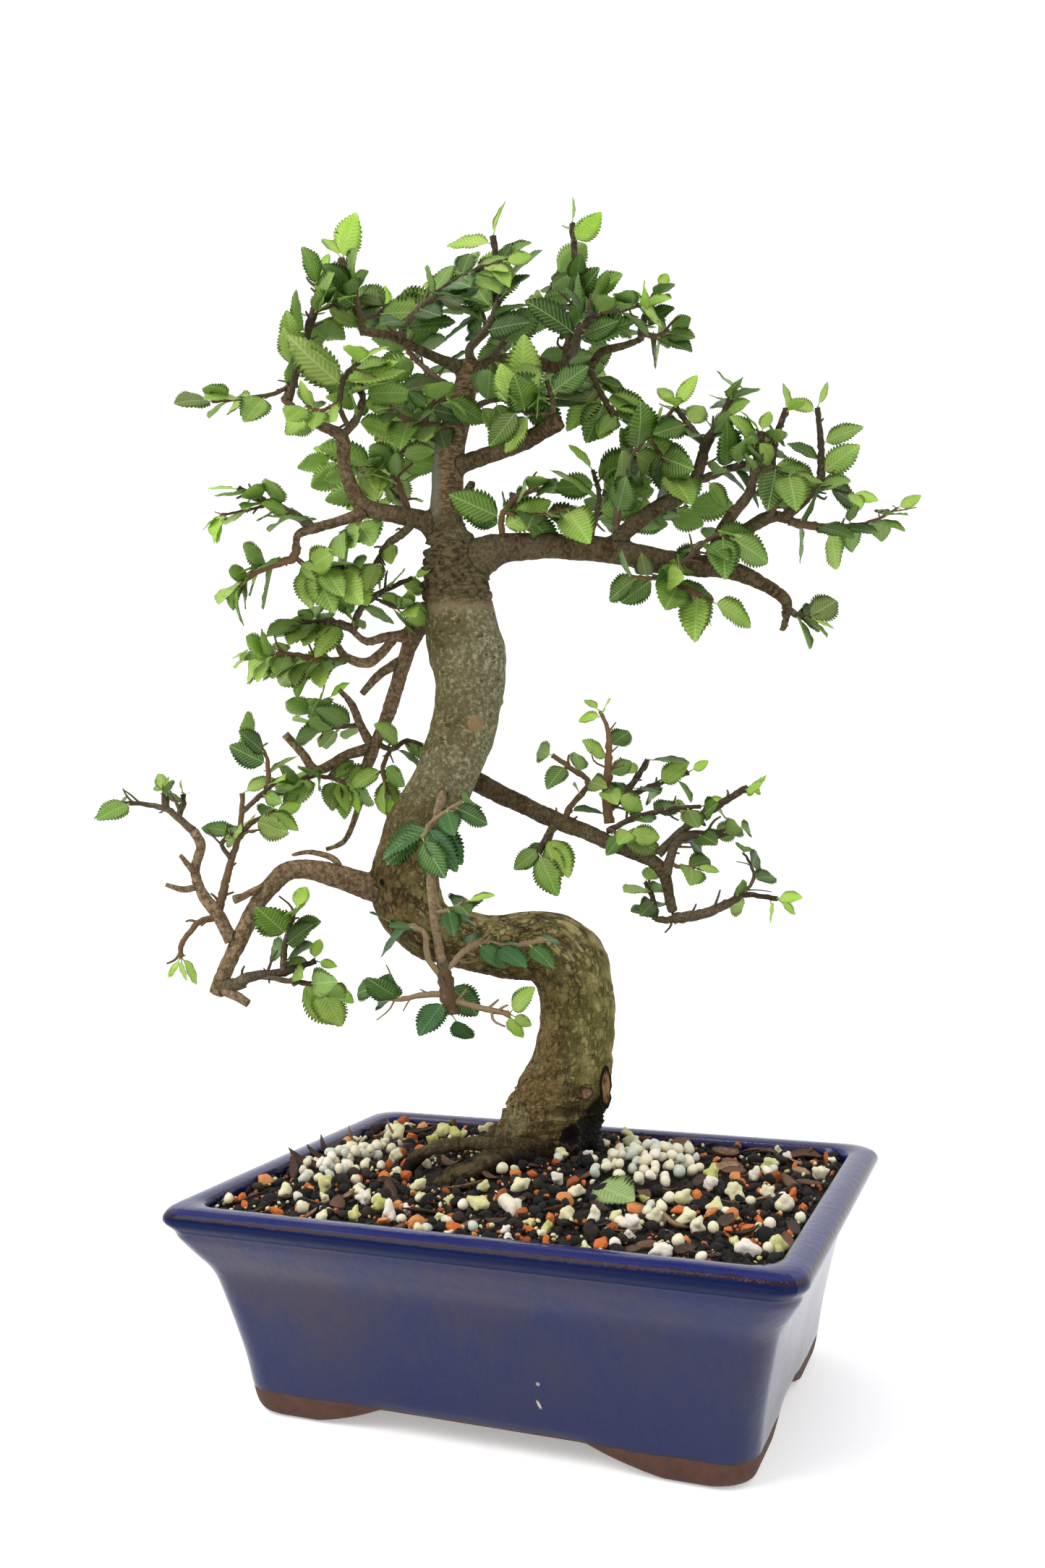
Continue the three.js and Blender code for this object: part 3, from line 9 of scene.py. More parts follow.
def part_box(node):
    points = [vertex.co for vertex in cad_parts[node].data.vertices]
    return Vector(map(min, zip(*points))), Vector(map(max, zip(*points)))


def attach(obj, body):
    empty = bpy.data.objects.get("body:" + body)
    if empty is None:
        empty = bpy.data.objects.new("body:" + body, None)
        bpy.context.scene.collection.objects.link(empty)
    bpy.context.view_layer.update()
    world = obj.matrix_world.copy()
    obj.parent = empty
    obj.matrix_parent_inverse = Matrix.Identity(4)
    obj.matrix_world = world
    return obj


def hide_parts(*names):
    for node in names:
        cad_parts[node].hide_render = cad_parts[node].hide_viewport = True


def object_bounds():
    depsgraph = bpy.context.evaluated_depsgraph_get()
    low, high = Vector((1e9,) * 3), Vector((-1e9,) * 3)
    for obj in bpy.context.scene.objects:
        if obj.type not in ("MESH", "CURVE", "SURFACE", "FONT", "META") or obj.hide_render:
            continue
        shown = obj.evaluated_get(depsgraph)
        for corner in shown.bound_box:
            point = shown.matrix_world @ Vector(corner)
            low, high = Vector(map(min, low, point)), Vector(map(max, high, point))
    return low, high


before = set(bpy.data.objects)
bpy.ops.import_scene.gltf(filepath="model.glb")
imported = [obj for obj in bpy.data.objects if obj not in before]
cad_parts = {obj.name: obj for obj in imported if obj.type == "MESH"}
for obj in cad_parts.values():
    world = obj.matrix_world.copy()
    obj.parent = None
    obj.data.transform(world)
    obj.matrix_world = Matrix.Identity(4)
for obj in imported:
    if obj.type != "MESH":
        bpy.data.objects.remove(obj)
cad_low, cad_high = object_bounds()

# Pot
# The pot is one slip-cast stoneware body, glazed a glossy cobalt blue inside and out and fired. The glaze
# breaks to brown along the lip's arris and stops short of the four feet, which stand bare and brown-red.
# Everything else is planted in it, so its centre is where all the other pieces are measured from.
MM = 0.001
POT_CENTRE = np.mean(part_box("pot"), axis=0) / MM * (1, 1, 0)


def add_object(name, points, faces):
    mesh = bpy.data.meshes.new(name)
    mesh.from_pydata(np.asarray(points, float).tolist(), [], faces)
    made = bpy.data.objects.new(name, mesh)
    bpy.context.scene.collection.objects.link(made)
    return made


def solved(made):
    """An object's mesh with its modifiers worked out."""
    return made.evaluated_get(bpy.context.evaluated_depsgraph_get()).to_mesh()


def make_piece(name, points, faces, looks, replaced=(), marks=None, look_of_face=None):
    """A shown object from points in millimetres about the pot's centre, riding on the part's one body."""
    piece = add_object(name, (np.asarray(points, float) + POT_CENTRE) * MM, faces)
    mesh = piece.data
    for look in looks:
        mesh.materials.append(look)
    if look_of_face is not None:
        mesh.polygons.foreach_set("material_index", np.asarray(look_of_face, np.int32))
    for mark, values in (marks or {}).items():
        values = np.asarray(values, np.float32)
        plain = values.ndim == 1
        layer = mesh.attributes.new(mark, "FLOAT" if plain else "FLOAT_VECTOR", "POINT")
        layer.data.foreach_set("value" if plain else "vector", values.ravel())
    mesh.shade_smooth()
    mesh.update()
    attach(piece, "root")
    if replaced:
        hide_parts(*replaced)
    return piece


def maths(operation, swapped=False):
    """A method that puts a wire, and any other value, through a Math node."""
    def method(wire, *others):
        made = wire.socket.id_data.nodes.new("ShaderNodeMath")
        made.operation = operation
        for place, value in zip(made.inputs, (*others, wire) if swapped else (wire, *others)):
            feed(place, value)
        return Wire(made.outputs[0])
    return method


class Wire:
    """A shader node's output, which Python's operators carry on into Math nodes."""

    def __init__(self, socket):
        self.socket = socket

    __add__, __radd__ = maths("ADD"), maths("ADD", swapped=True)
    __sub__, __rsub__ = maths("SUBTRACT"), maths("SUBTRACT", swapped=True)
    __mul__, __rmul__ = maths("MULTIPLY"), maths("MULTIPLY", swapped=True)
    __truediv__, __pow__ = maths("DIVIDE"), maths("POWER")
    __abs__, floor = maths("ABSOLUTE"), maths("FLOOR")
    least, most = maths("MINIMUM"), maths("MAXIMUM")


def feed(place, value):
    """Links a wire to an input socket, or sets the socket to a constant."""
    if isinstance(value, Wire):
        place.id_data.links.new(value.socket, place)
    else:
        place.default_value = value


class Look:
    """A material being built. node() adds any node, and its output comes back as a wire."""

    def __init__(self, name, **constants):
        self.material = bpy.data.materials.new(name)
        self.material.use_nodes = True
        self.tree = self.material.node_tree
        self.shader = self.tree.nodes["Principled BSDF"]
        for socket, value in constants.items():
            self.shader.inputs[socket.replace("_", " ")].default_value = value
        where = self.node("TexCoord", output="Object")
        self.spot = self.vector("SUBTRACT", where, tuple(POT_CENTRE * MM))
        self.spot = self.vector("SCALE", self.spot, Scale=1 / MM)

    def node(self, kind, inputs=None, output=0, **settings):
        made = self.tree.nodes.new("ShaderNode" + kind)
        for name, value in settings.items():
            setattr(made, name, value)
        for place, value in (inputs or {}).items():
            feed(made.inputs[place], value)
        return Wire(made.outputs[output])

    def vector(self, operation, *values, **named):
        inputs = {**dict(enumerate(values)), **named}
        return self.node("VectorMath", inputs, operation=operation)

    def axes(self, vector=None):
        split = self.tree.nodes.new("ShaderNodeSeparateXYZ")
        feed(split.inputs[0], vector or self.spot)
        return [Wire(socket) for socket in split.outputs]

    def grain(self, scale, detail=3.0, roughness=0.5, vector=None):
        """Noise about 0 to 1 with features of 1/scale millimetres."""
        return self.node("TexNoise", {
            "Vector": vector or self.spot, "Scale": scale, "Detail": detail, "Roughness": roughness})

    def rise(self, value, low, high, start=0.0, end=1.0):
        """A smooth step of a wire, from start at low to end at high."""
        inputs = {"Value": value, 1: low, 2: high, 3: start, 4: end}
        return self.node("MapRange", inputs, interpolation_type="SMOOTHSTEP")

    def band(self, value, low, high, soft):
        """One between low and high and nothing outside, with soft edges."""
        return self.rise(value, low - soft, low + soft) * self.rise(value, high - soft, high + soft, 1, 0)

    def mix(self, share, colour, other):
        colours = [c if isinstance(c, Wire) else (*c, 1) for c in (colour, other)]
        inputs = {0: share, 6: colours[0], 7: colours[1]}
        return self.node("Mix", inputs, output=2, data_type="RGBA")

    def layered(self, colour, *layers):
        """A colour with others laid over it in turn, each given as a share and a colour."""
        for share, other in layers:
            colour = self.mix(share, colour, other)
        return colour

    def mark(self, name, output="Fac"):
        return self.node("Attribute", output=output, attribute_name=name)

    def bump(self, height, distance, strength=1.0):
        """Raises the surface by a wire of 0 to 1, distance being in millimetres."""
        inputs = {"Height": height, "Distance": distance * MM, "Strength": strength}
        feed(self.shader.inputs["Normal"], self.node("Bump", inputs))

    def paint(self, **wires):
        for socket, value in wires.items():
            feed(self.shader.inputs[socket.replace("_", " ")], value)
        return self.material


def spline(rows, share):
    """A smooth curve through rows of numbers, at a share of its length from 0 to 1."""
    rows = np.asarray(rows, float)
    spans = len(rows) - 1
    span = min(spans - 1, int(math.floor(share * spans)))
    t = share * spans - span
    before, start = rows[max(0, span - 1)], rows[span]
    end, after = rows[span + 1], rows[min(spans, span + 2)]
    return 0.5 * (
        2 * start + (end - before) * t + (2 * before - 5 * start + 4 * end - after) * t * t
        + (3 * start - before - 3 * end + after) * t ** 3
    )


# Half the rim's length and depth, and how round its corners are
HALF_LONG, HALF_DEEP, CORNER = 110, 83, 9


def rounded_ring(inset):
    """The rim's rounded rectangle taken in by an inset, as points going round from above."""
    corner = CORNER + 3 * min(1.0, inset / 20)
    across, deep = HALF_LONG - inset - corner, HALF_DEEP - inset - corner
    points = []
    for quarter, between in ((0, 58), (1, 44), (2, 58), (3, 44)):
        centre = np.array([(across, -across)[quarter in (1, 2)], (deep, -deep)[quarter > 1]])
        for step in range(13):
            angle = (quarter + step / 12) * math.pi / 2
            points.append(centre + corner * np.array([math.cos(angle), math.sin(angle)]))
        turn = (quarter + 1) * math.pi / 2
        following = np.array([(across, -across)[quarter in (0, 1)], (deep, -deep)[quarter in (1, 2)]])
        arm = corner * np.array([math.cos(turn), math.sin(turn)])
        for step in range(1, between):
            points.append((centre + arm) + (following - centre) * step / between)
    return np.array(points)


def loft(rings):
    """Rings of equal length, bottom ring first, joined and capped at both ends, as points and faces."""
    count = len(rings[0])
    faces = []
    for low in range(len(rings) - 1):
        for step in range(count):
            following = (step + 1) % count
            faces.append((
                low * count + step, low * count + following,
                (low + 1) * count + following, (low + 1) * count + step))
    faces.append(tuple(range(count - 1, -1, -1)))
    faces.append(tuple(range((len(rings) - 1) * count, len(rings) * count)))
    return np.concatenate(rings), faces


# How far the wall stands in from the rim at each height, outside and in
OUTER_WALL = [
    (24, 0), (22, 3), (20.5, 10), (18.5, 22), (14, 41.5), (11.3, 50.5), (7, 57.5), (3.6, 63),
    (2.4, 66), (0.4, 68.6), (0, 70.4), (1.2, 72.6), (3.4, 73.8),
]
INNER_WALL = [(9.0, 73.5), (10.2, 71.8), (13, 60), (19, 46), (24.5, 24), (29, 15.5), (31, 14)]
# The height of the gap between the feet, and the height over which it dies out in the wall
SKIRT, FOOT_TOP = 7.5, 12.0
HOLE_PLACE, HOLE_RADIUS = 38, 7


def foot_rise(x, y):
    """How high the pot's bottom edge is over the ground: nothing at the feet, the skirt between them."""
    rise = 0.0
    for away, ground, skirt in ((abs(x), 61, 36), (abs(y), 27, 12)):
        t = min(1.0, max(0.0, (ground - away) / (ground - skirt)))
        rise = max(rise, SKIRT * (0.5 * t * (1 - t) + t * t))
    return rise


def pot_rings():
    def ring(inset, height):
        flat = rounded_ring(inset)
        high = np.array([height(x, y) for x, y in flat])
        return np.column_stack([flat, high])

    def level(z):
        return lambda x, y: z

    def above_foot(z):
        return lambda x, y: foot_rise(x, y) * (1 - z / FOOT_TOP) + z

    outer = [spline(OUTER_WALL, step / 60).clip(0) for step in range(61)]
    rings = [ring(33.2, level(8.5)), ring(34.4, above_foot(1.0)), ring(34.0, above_foot(0.3))]
    rings += [ring(33.2, above_foot(0.0)), ring(25.6, above_foot(0.0)), ring(24.3, above_foot(0.4))]
    for inset, z in outer:
        if 1.2 < z:
            rings.append(ring(inset, above_foot(z) if z < FOOT_TOP else level(z)))
    rings += [ring(inset, level(z)) for inset, z in ((5.6, 74.0), (7.6, 73.95))]
    for step in range(29):
        inset, z = spline(INNER_WALL, step / 28)
        rings.append(ring(inset, level(z)))
    return rings


def bored_pot():
    """The pot's mesh with its two drain holes cut, as points and faces."""
    pot = add_object("pot_body", *loft(pot_rings()))
    drills = []
    turns = [math.tau * step / 40 for step in range(40)]
    for side in (-1, 1):
        drills.append(add_object("drill", *loft([
            np.array([
                (side * HOLE_PLACE + HOLE_RADIUS * math.cos(turn), HOLE_RADIUS * math.sin(turn), z)
                for turn in turns]) for z in (2, 20)])))
        cut = pot.modifiers.new("cut", "BOOLEAN")
        cut.object = drills[-1]
        cut.operation = "DIFFERENCE"
        cut.solver = "EXACT"
    made = solved(pot)
    points = np.array([v.co[:] for v in made.vertices])
    faces = [tuple(p.vertices) for p in made.polygons]
    for leftover in (pot, *drills):
        bpy.data.objects.remove(leftover)
    return points, faces


def glaze(name, reflects):
    look = Look(name, Roughness=0.12, Specular_IOR_Level=reflects)
    x, y, z = look.axes()
    inset = (HALF_LONG - abs(x)).least(HALF_DEEP - abs(y))
    below_rim = (74 - z).most(0)
    outside = look.rise(inset, 6.5 + 0.12 * below_rim, 8 + 0.5 * below_rim, 1, 0)
    stretched = look.vector("MULTIPLY", look.spot, (1, 1, 0.22))
    cloud = look.grain(0.028, 4, 0.55)
    run = look.grain(0.3, 3, 0.6, stretched)
    speck = look.grain(2.2, 2, 0.6)
    milky_and_sheen = look.rise(cloud * 0.7 + run * 0.3, 0.36, 0.66)
    # A milky cloud in the glaze, fading toward the foot, with painted sheen that grows stronger toward the
    # left
    milky_and_sheen = milky_and_sheen * look.rise(z, 12, 48, 0.35, 1) * look.rise(x, -70, 80, 1.15, 0.7)
    under_lip = look.band(z + (run - 0.5) * 0.8, 66.0, 71.6, 0.35) * outside
    # Painted shade: the inner wall below the rim is painted a darker blue
    inner = (1 - outside) * look.rise(z, 72, 70.5)
    top = look.rise(z, 71.3, 72.6)
    ragged = z + (run - 0.5) * 0.9 + (look.grain(0.07, 2) - 0.5) * 1.2
    arris = look.band(ragged, 71.5, 72.5, 0.35) * outside
    inner_arris = look.band(inset, 8.6, 10.0, 0.5) * look.rise(z, 72.4, 73.2) * 0.6
    pin_x, pin_z = x - 22.5, z - 26.5
    pinhole = look.rise((pin_x * pin_x + pin_z * pin_z) ** 0.5, 0.3, 0.9, 1, 0)
    chip_x, chip_z = x - 22.2, z - 19.5
    across, along = (chip_x * 0.91 + chip_z * 0.42) / 0.6, (chip_x * 0.42 - chip_z * 0.91) / 1.7
    chip = look.rise((across * across + along * along) ** 0.5 + speck * 0.5, 0.8, 1.35, 1, 0)
    front = look.rise(y, -60, -62)
    bare_top = 8.9 + (look.grain(0.12, 3) - 0.5) * 2.2
    bare = look.rise(z - bare_top, -0.15, 0.15, 1, 0)
    fired = look.mix(look.grain(0.25, 5, 0.65), (0.030, 0.011, 0.007), (0.115, 0.048, 0.030))
    edge = look.band(z - bare_top, 0.05, 0.8, 0.35)
    colour = look.layered(
        (0.004, 0.011, 0.072),
        (milky_and_sheen, (0.029, 0.021, 0.050)),
        (look.rise(speck, 0.45, 0.75) * 0.3, (0.038, 0.038, 0.092)),
        (under_lip * look.rise(run, 0.25, 0.6, 0.85, 1), (0.004, 0.009, 0.048)),
        (inner * 0.9, (0.003, 0.005, 0.026)),
        (top * 0.75, look.mix(cloud, (0.006, 0.012, 0.130), (0.034, 0.036, 0.12))),
        (arris.most(inner_arris) * 0.9, (0.026, 0.011, 0.009)),
        # Painted glints: pale specks along the brown arris toward the right
        (arris * look.rise(speck, 0.64, 0.74) * look.rise(x, 20, 70) * 0.8, (0.42, 0.25, 0.16)),
        ((pinhole * 0.7).most(chip) * front, (0.46, 0.40, 0.34)),
        (edge * 0.75, (0.022, 0.011, 0.012)),
        (bare, fired))
    height = (
        look.grain(0.35, 2) * 0.5 + look.grain(1.6, 3, 0.6) * (0.03 + bare * 0.4) - pinhole * front * 0.6)
    look.bump(height, 0.5, 0.55)
    matt = look.rise(speck * 0.5 + cloud * 0.5, 0.3, 0.7, 0.10, 0.2)
    return look.paint(Base_Color=colour, Roughness=matt + bare * 0.62)


def round_lip(points, faces):
    """Whether each face is on the long sides' lip, where the glaze ran thick and reflects less."""
    middles = np.array([np.mean([points[index] for index in face], axis=0) for face in faces])
    over = abs(middles[:, :2]) - (HALF_LONG - CORNER, HALF_DEEP - CORNER)
    inset = CORNER - np.linalg.norm(over.clip(0), axis=1) - over.max(1).clip(None, 0)
    return (inset < 4.0) & (middles[:, 2] > 66) & (over[:, 1] > over[:, 0])


pot_points, pot_faces = bored_pot()
make_piece(
    "glazed_pot", pot_points, pot_faces, [glaze("cobalt_glaze", 0.33), glaze("lip_glaze", 0.08)],
    ["pot"], look_of_face=round_lip(pot_points, pot_faces))

# Drainage screen
# A strip of black plastic mesh lies over the two drain holes and keeps the soil in. It is moulded in one
# piece, with square openings, and lies loose on the pot's floor.


def screen_plastic():
    look = Look("screen_plastic", Roughness=0.55)
    colour = look.mix(look.grain(0.4), (0.012, 0.012, 0.012), (0.030, 0.030, 0.030))
    look.bump(look.grain(1.5), 0.1, 0.4)
    return look.paint(Base_Color=colour)


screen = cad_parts["drainage_screen"]
screen.data.materials.clear()
screen.data.materials.append(screen_plastic())

# Soil
# A loose bonsai mix fills the pot: charcoal-dark crumbs, chips of orange fired clay, cream pumice and scraps
# of bark and dead leaf. It was poured round the roots and pressed, so it mounds a little against the trunk.
# The soil's level, how far inside the rim its edge is, and half the length and depth that grains lie over
SOIL_LEVEL, BED_EDGE = 70.6, 10.9
STREWN_LONG, STREWN_DEEP = 98, 71
# Each heap of pellets: its centre, and how far it reaches along the pot and across it
HEAPS = {"pellets_right": (33, 26, 23, 33), "pellets_left": (-82, 0, 14, 32)}
FALLEN_LEAF = (33, -17)
TRUNK_FOOT = (-11, 36)


def ground(x, y):
    """The soil's height, mounded about the trunk."""
    away = ((x + 8) ** 2 + (y - 26) ** 2) / (2 * 32 ** 2)
    return SOIL_LEVEL + 5.4 * math.exp(-away)


def in_heap(x, y):
    """Whether a place is well inside a heap, where no grain would be seen."""
    return any(
        math.hypot((x - cx) / (rx - 2), (y - cy) / (ry - 2)) < 1 for cx, cy, rx, ry in HEAPS.values())


def soil_bed():
    rings = []
    for inset, z in ((29.3, 14.3), (24.8, 24), (19.3, 46), (13.3, 60), (BED_EDGE, 69.0)):
        flat = rounded_ring(inset)
        rings.append(np.column_stack([flat, np.full(len(flat), z)]))
    rim = rounded_ring(BED_EDGE)
    for share in np.linspace(0.995, 0.012, 104):
        flat = rim * share
        high = [
            ground(x, y) - 1.3 + 1.7 * noise.noise((x * 0.13, y * 0.13, 3))
            + 1.2 * noise.noise((x * 0.42, y * 0.42, 9)) + 0.5 * noise.noise((x, y, 5)) for x, y in flat]
        rings.append(np.column_stack([flat, high]))
    return loft(rings)


def bed_earth():
    look = Look("dark_earth", Roughness=0.9)
    colour = look.mix(look.grain(0.5, 5, 0.7), (0.004, 0.003, 0.002), (0.024, 0.015, 0.009))
    look.bump(look.grain(0.9, 5, 0.7), 1.2)
    return look.paint(Base_Color=colour)


bed_points, bed_faces = soil_bed()
make_piece("soil_bed", bed_points, bed_faces, [bed_earth()], ["soil"])


def ball(subdivisions):
    """A round ball of triangles about one millimetre in radius, as points and faces."""
    made = bmesh.new()
    bmesh.ops.create_icosphere(made, subdivisions=subdivisions, radius=1)
    points = np.array([v.co[:] for v in made.verts])
    faces = np.array([[v.index for v in f.verts] for f in made.faces])
    made.free()
    return points, faces


def turned(count, draw):
    """As many rotations as asked for, drawn evenly, as matrices."""
    spins = draw.normal(size=(count, 4))
    w, x, y, z = (spins / np.linalg.norm(spins, axis=1)[:, None]).T
    return np.array([
        [1 - 2 * (y * y + z * z), 2 * (x * y - z * w), 2 * (x * z + y * w)],
        [2 * (x * y + z * w), 1 - 2 * (x * x + z * z), 2 * (y * z - x * w)],
        [2 * (x * z - y * w), 2 * (y * z + x * w), 1 - 2 * (x * x + y * y)],
    ]).transpose(2, 0, 1)


def grains(centres, sizes, draw, facets=0, lobes=0, core=1.0, rough=0.0, stretch=0.0, detail=2, sharp=6):
    """Many grains at once: balls with random lobes, bumps and facets, stretched and turned at random."""
    points, faces = ball(detail)
    count = len(centres)
    radii = np.full((count, len(points)), core)
    for _ in range(lobes):
        towards = draw.normal(size=(count, 3))
        towards /= np.linalg.norm(towards, axis=1)[:, None]
        facing = (towards @ points.T).clip(0, 1)
        radii += draw.uniform(0.1, 0.62, (count, 1)) * facing ** sharp
    for pace in (4, 6, 9, 12) if rough else ():
        waves = draw.normal(size=(count, 3)) * pace * 0.6
        radii += rough * np.sin(waves @ points.T + draw.uniform(0, math.tau, (count, 1))) * 4 / pace
    for _ in range(facets):
        towards = draw.normal(size=(count, 3))
        towards /= np.linalg.norm(towards, axis=1)[:, None]
        facing = (towards @ points.T).clip(1e-3, 1)
        radii = np.minimum(radii, draw.uniform(0.5, 0.88, (count, 1)) / facing)
    pull = 1 + draw.uniform(-1, 1, (count, 1, 3)) * stretch
    shapes = np.einsum("nij,nkj->nki", turned(count, draw), radii[:, :, None] * points[None] * pull)
    shapes = shapes * sizes[:, None, None] + centres[:, None, :]
    every = faces[None] + (np.arange(count) * len(points))[:, None, None]
    tone = np.repeat(draw.uniform(0, 1, count), len(points))
    return shapes.reshape(-1, 3), every.reshape(-1, 3).tolist(), tone


def flakes(
        spots, draw, long_by=(1.1, 1.9), wide_by=(0.45, 0.8), bow_by=(-0.02, 0.06), tip_by=(-0.35, 0.35),
        lift=0.9):
    """Thin torn flakes or straws of bark and dead leaf, curled and tipped, lying on the ground."""
    points, faces = ball(2)
    shapes, tones = [], []
    for x, y, size in spots:
        long, wide = size * draw.uniform(*long_by), size * draw.uniform(*wide_by)
        torn = 1 + 0.16 * np.sin(points[:, 0] * 9 + draw.uniform(0, 6)) * np.sin(points[:, 1] * 7 + 2)
        flat = points * (long, wide, 0.3) * torn[:, None]
        curl, bow = draw.uniform(-0.15, 0.3), draw.uniform(*bow_by)
        flat[:, 2] += curl * flat[:, 1] ** 2 + bow * flat[:, 0] ** 2
        turn, roll, tip = (draw.uniform(*ends) for ends in ((0, math.tau), (-0.5, 0.5), tip_by))
        lean = (
            Matrix.Rotation(turn, 3, "Z") @ Matrix.Rotation(roll, 3, "X") @ Matrix.Rotation(tip, 3, "Y"))
        shapes.append(flat @ np.array(lean).T + (x, y, ground(x, y) + lift))
        tones.append(np.full(len(points), draw.uniform(0, 1)))
    every = faces[None] + (np.arange(len(spots)) * len(points))[:, None, None]
    return np.concatenate(shapes), every.reshape(-1, 3).tolist(), np.concatenate(tones)


def scatter(sizes, draw, taken, keep=0.82):
    """Places on bare soil for grains of given radii, thrown at random and kept clear of those before."""
    spots = []
    for size in sizes:
        for _ in range(40):
            x, y = (draw.uniform(-half, half) for half in (STREWN_LONG, STREWN_DEEP))
            if not bare_soil(x, y):
                continue
            near = taken[:, :2] - (x, y)
            if len(taken) and ((near ** 2).sum(1) < (keep * (taken[:, 2] + size)) ** 2).any():
                continue
            taken = np.vstack([taken, (x, y, size)])
            spots.append((x, y, size))
            break
    return np.array(spots), taken


# Where the surface roots lie on the soil, with how wide each keeps it clear
ROOTS_CLEAR = [
    (4.0, (0, 31), (-17, 12), (-30, 3), (-49, -5)), (8.0, (0, 30), (-18, 9), (-25, -3), (-37, -17)),
    (5.0, (-14, 36), (-37, 41)), (5.0, (-6, 36), (13, 33))]


def bare_soil(x, y):
    """Whether a grain may lie here: clear of the trunk, the roots, the heaps and the fallen leaf."""
    if math.dist((x, y), TRUNK_FOOT) < 17 or in_heap(x, y) or math.dist((x, y), FALLEN_LEAF) < 7:
        return False
    for wide, *line in ROOTS_CLEAR:
        for (ax, ay), (bx, by) in zip(line, line[1:]):
            share = ((x - ax) * (bx - ax) + (y - ay) * (by - ay)) / ((bx - ax) ** 2 + (by - ay) ** 2)
            share = min(1, max(0, share))
            if math.hypot(x - ax - share * (bx - ax), y - ay - share * (by - ay)) < wide:
                return False
    return True


def laid(spots, sink=0.2):
    """Centres for scattered grains, each sunk a share of its radius into the ground."""
    high = np.array([ground(x, y) - 0.9 for x, y, _ in spots])
    return np.column_stack([spots[:, :2], high + spots[:, 2] * (1 - sink)])


def grain_look(name, colours, roughness, rough_scale, relief):
    """Three colours that the grains vary between, with a mottle on each."""
    look = Look(name, Roughness=roughness)
    tone = look.mark("tone") * 0.75 + look.grain(rough_scale, 4, 0.6) * 0.5 - 0.12
    low, middle, high = colours
    look.bump(look.grain(rough_scale * 2.5, 5, 0.7), relief)
    return look.paint(Base_Color=look.layered(
        low, (look.rise(tone, 0.15, 0.55), middle), (look.rise(tone, 0.6, 0.9), high)))


def make_grains(name, made, look, replaced=()):
    """A piece from grains or flakes, which are given as points, faces and tones."""
    points, faces, tone = made
    return make_piece(name, points, faces, [look], replaced, {"tone": tone})


draw = np.random.default_rng(41)
taken = np.zeros((0, 3))
bits = {}
for kind, count, small, large, power in (
        ("pumice", 88, 1.9, 4.3, 1.5), ("clay", 104, 1.1, 2.6, 1.7),
        ("flakes", 60, 2.6, 4.6, 1.2), ("lumps", 300, 1.5, 3.0, 1.6)):
    sizes = np.sort(draw.uniform(0, 1, count) ** power)[::-1] * (large - small) + small
    bits[kind], taken = scatter(sizes, draw, taken)
for kind, count, large in (("pumice_bits", 260, 1.25), ("clay_bits", 300, 1.15), ("crumbs", 1600, 1.4)):
    bits[kind], _ = scatter(draw.uniform(0.5, large, count), draw, taken, keep=0.5)

pumice = grain_look(
    "cream_pumice", [(0.58, 0.58, 0.17), (0.82, 0.77, 0.48), (0.86, 0.78, 0.70)], 0.85, 0.35, 0.6)
clay = grain_look(
    "fired_clay", [(0.36, 0.085, 0.018), (0.66, 0.16, 0.028), (0.70, 0.30, 0.10)], 0.9, 0.6, 0.4)
charcoal = grain_look(
    "charcoal_crumbs", [(0.003, 0.003, 0.003), (0.008, 0.006, 0.005), (0.038, 0.022, 0.012)], 0.85, 0.5, 0.7)
litter = grain_look(
    "litter", [(0.035, 0.017, 0.010), (0.14, 0.062, 0.028), (0.40, 0.24, 0.13)], 0.75, 0.5, 0.5)
dead_leaf = grain_look(
    "dead_leaf", [(0.050, 0.016, 0.008), (0.150, 0.048, 0.020), (0.36, 0.16, 0.08)], 0.6, 0.5, 0.5)
fresh_leaf = grain_look(
    "green_scrap", [(0.12, 0.24, 0.04), (0.20, 0.36, 0.07), (0.30, 0.46, 0.12)], 0.6, 0.5, 0.3)

make_grains("pumice_grains", grains(
    laid(bits["pumice"]), bits["pumice"][:, 2], draw, lobes=9, core=0.56, rough=0.05, detail=3, sharp=11),
    pumice)
clay_piece = make_grains("clay_grains", grains(
    laid(bits["clay"]), bits["clay"][:, 2] * 1.15, draw, facets=10, rough=0.07, stretch=0.45), clay)
clay_piece.data.shade_flat()
for name, look in (("pumice_bits", pumice), ("clay_bits", clay)):
    make_grains(name, grains(
        laid(bits[name], -0.3), bits[name][:, 2], draw, lobes=3, core=0.7, stretch=0.3, detail=1), look)
for kind, detail in (("lumps", 2), ("crumbs", 1)):
    make_grains("dark_" + kind, grains(
        laid(bits[kind], 0.35), bits[kind][:, 2], draw, facets=5, lobes=3, core=0.8, rough=0.06,
        stretch=0.25, detail=detail), charcoal)

make_grains("bark_scraps", flakes(bits["flakes"], draw), litter)
straws, _ = scatter(draw.uniform(2.6, 4.6, 46), draw, taken, keep=0.3)
points, faces, tone = flakes(
    straws, draw, long_by=(1.0, 1.7), wide_by=(0.10, 0.17), bow_by=(-0.01, 0.05), tip_by=(-0.3, 0.3))
make_grains("straws", (points, faces, tone * 0.6), litter)
curls = [
    (-93, -14, 5.6), (-91, -6, 6.4), (-92, 3, 5.0), (-90, -24, 4.6), (-91, 22, 4.6), (-82, 40, 5.6),
    (-60, 54, 4.0)]
make_grains("leaf_curls", flakes(
    curls, draw, long_by=(1.0, 1.3), wide_by=(0.24, 0.42), bow_by=(0.03, 0.07), tip_by=(0.6, 1.1), lift=4.2),
    dead_leaf)
make_grains("green_scrap", flakes(
    [(-63, 58, 5.0)], draw, long_by=(0.9, 1.0), wide_by=(0.3, 0.36), bow_by=(0.02, 0.03),
    tip_by=(0.5, 0.6), lift=3.6), fresh_leaf)

# Pellets
# Two heaps of slow-release fertiliser lie on the soil, one at the right of the trunk and one along the left
# wall. They are round coated prills of four to five millimetres, poured out by hand.


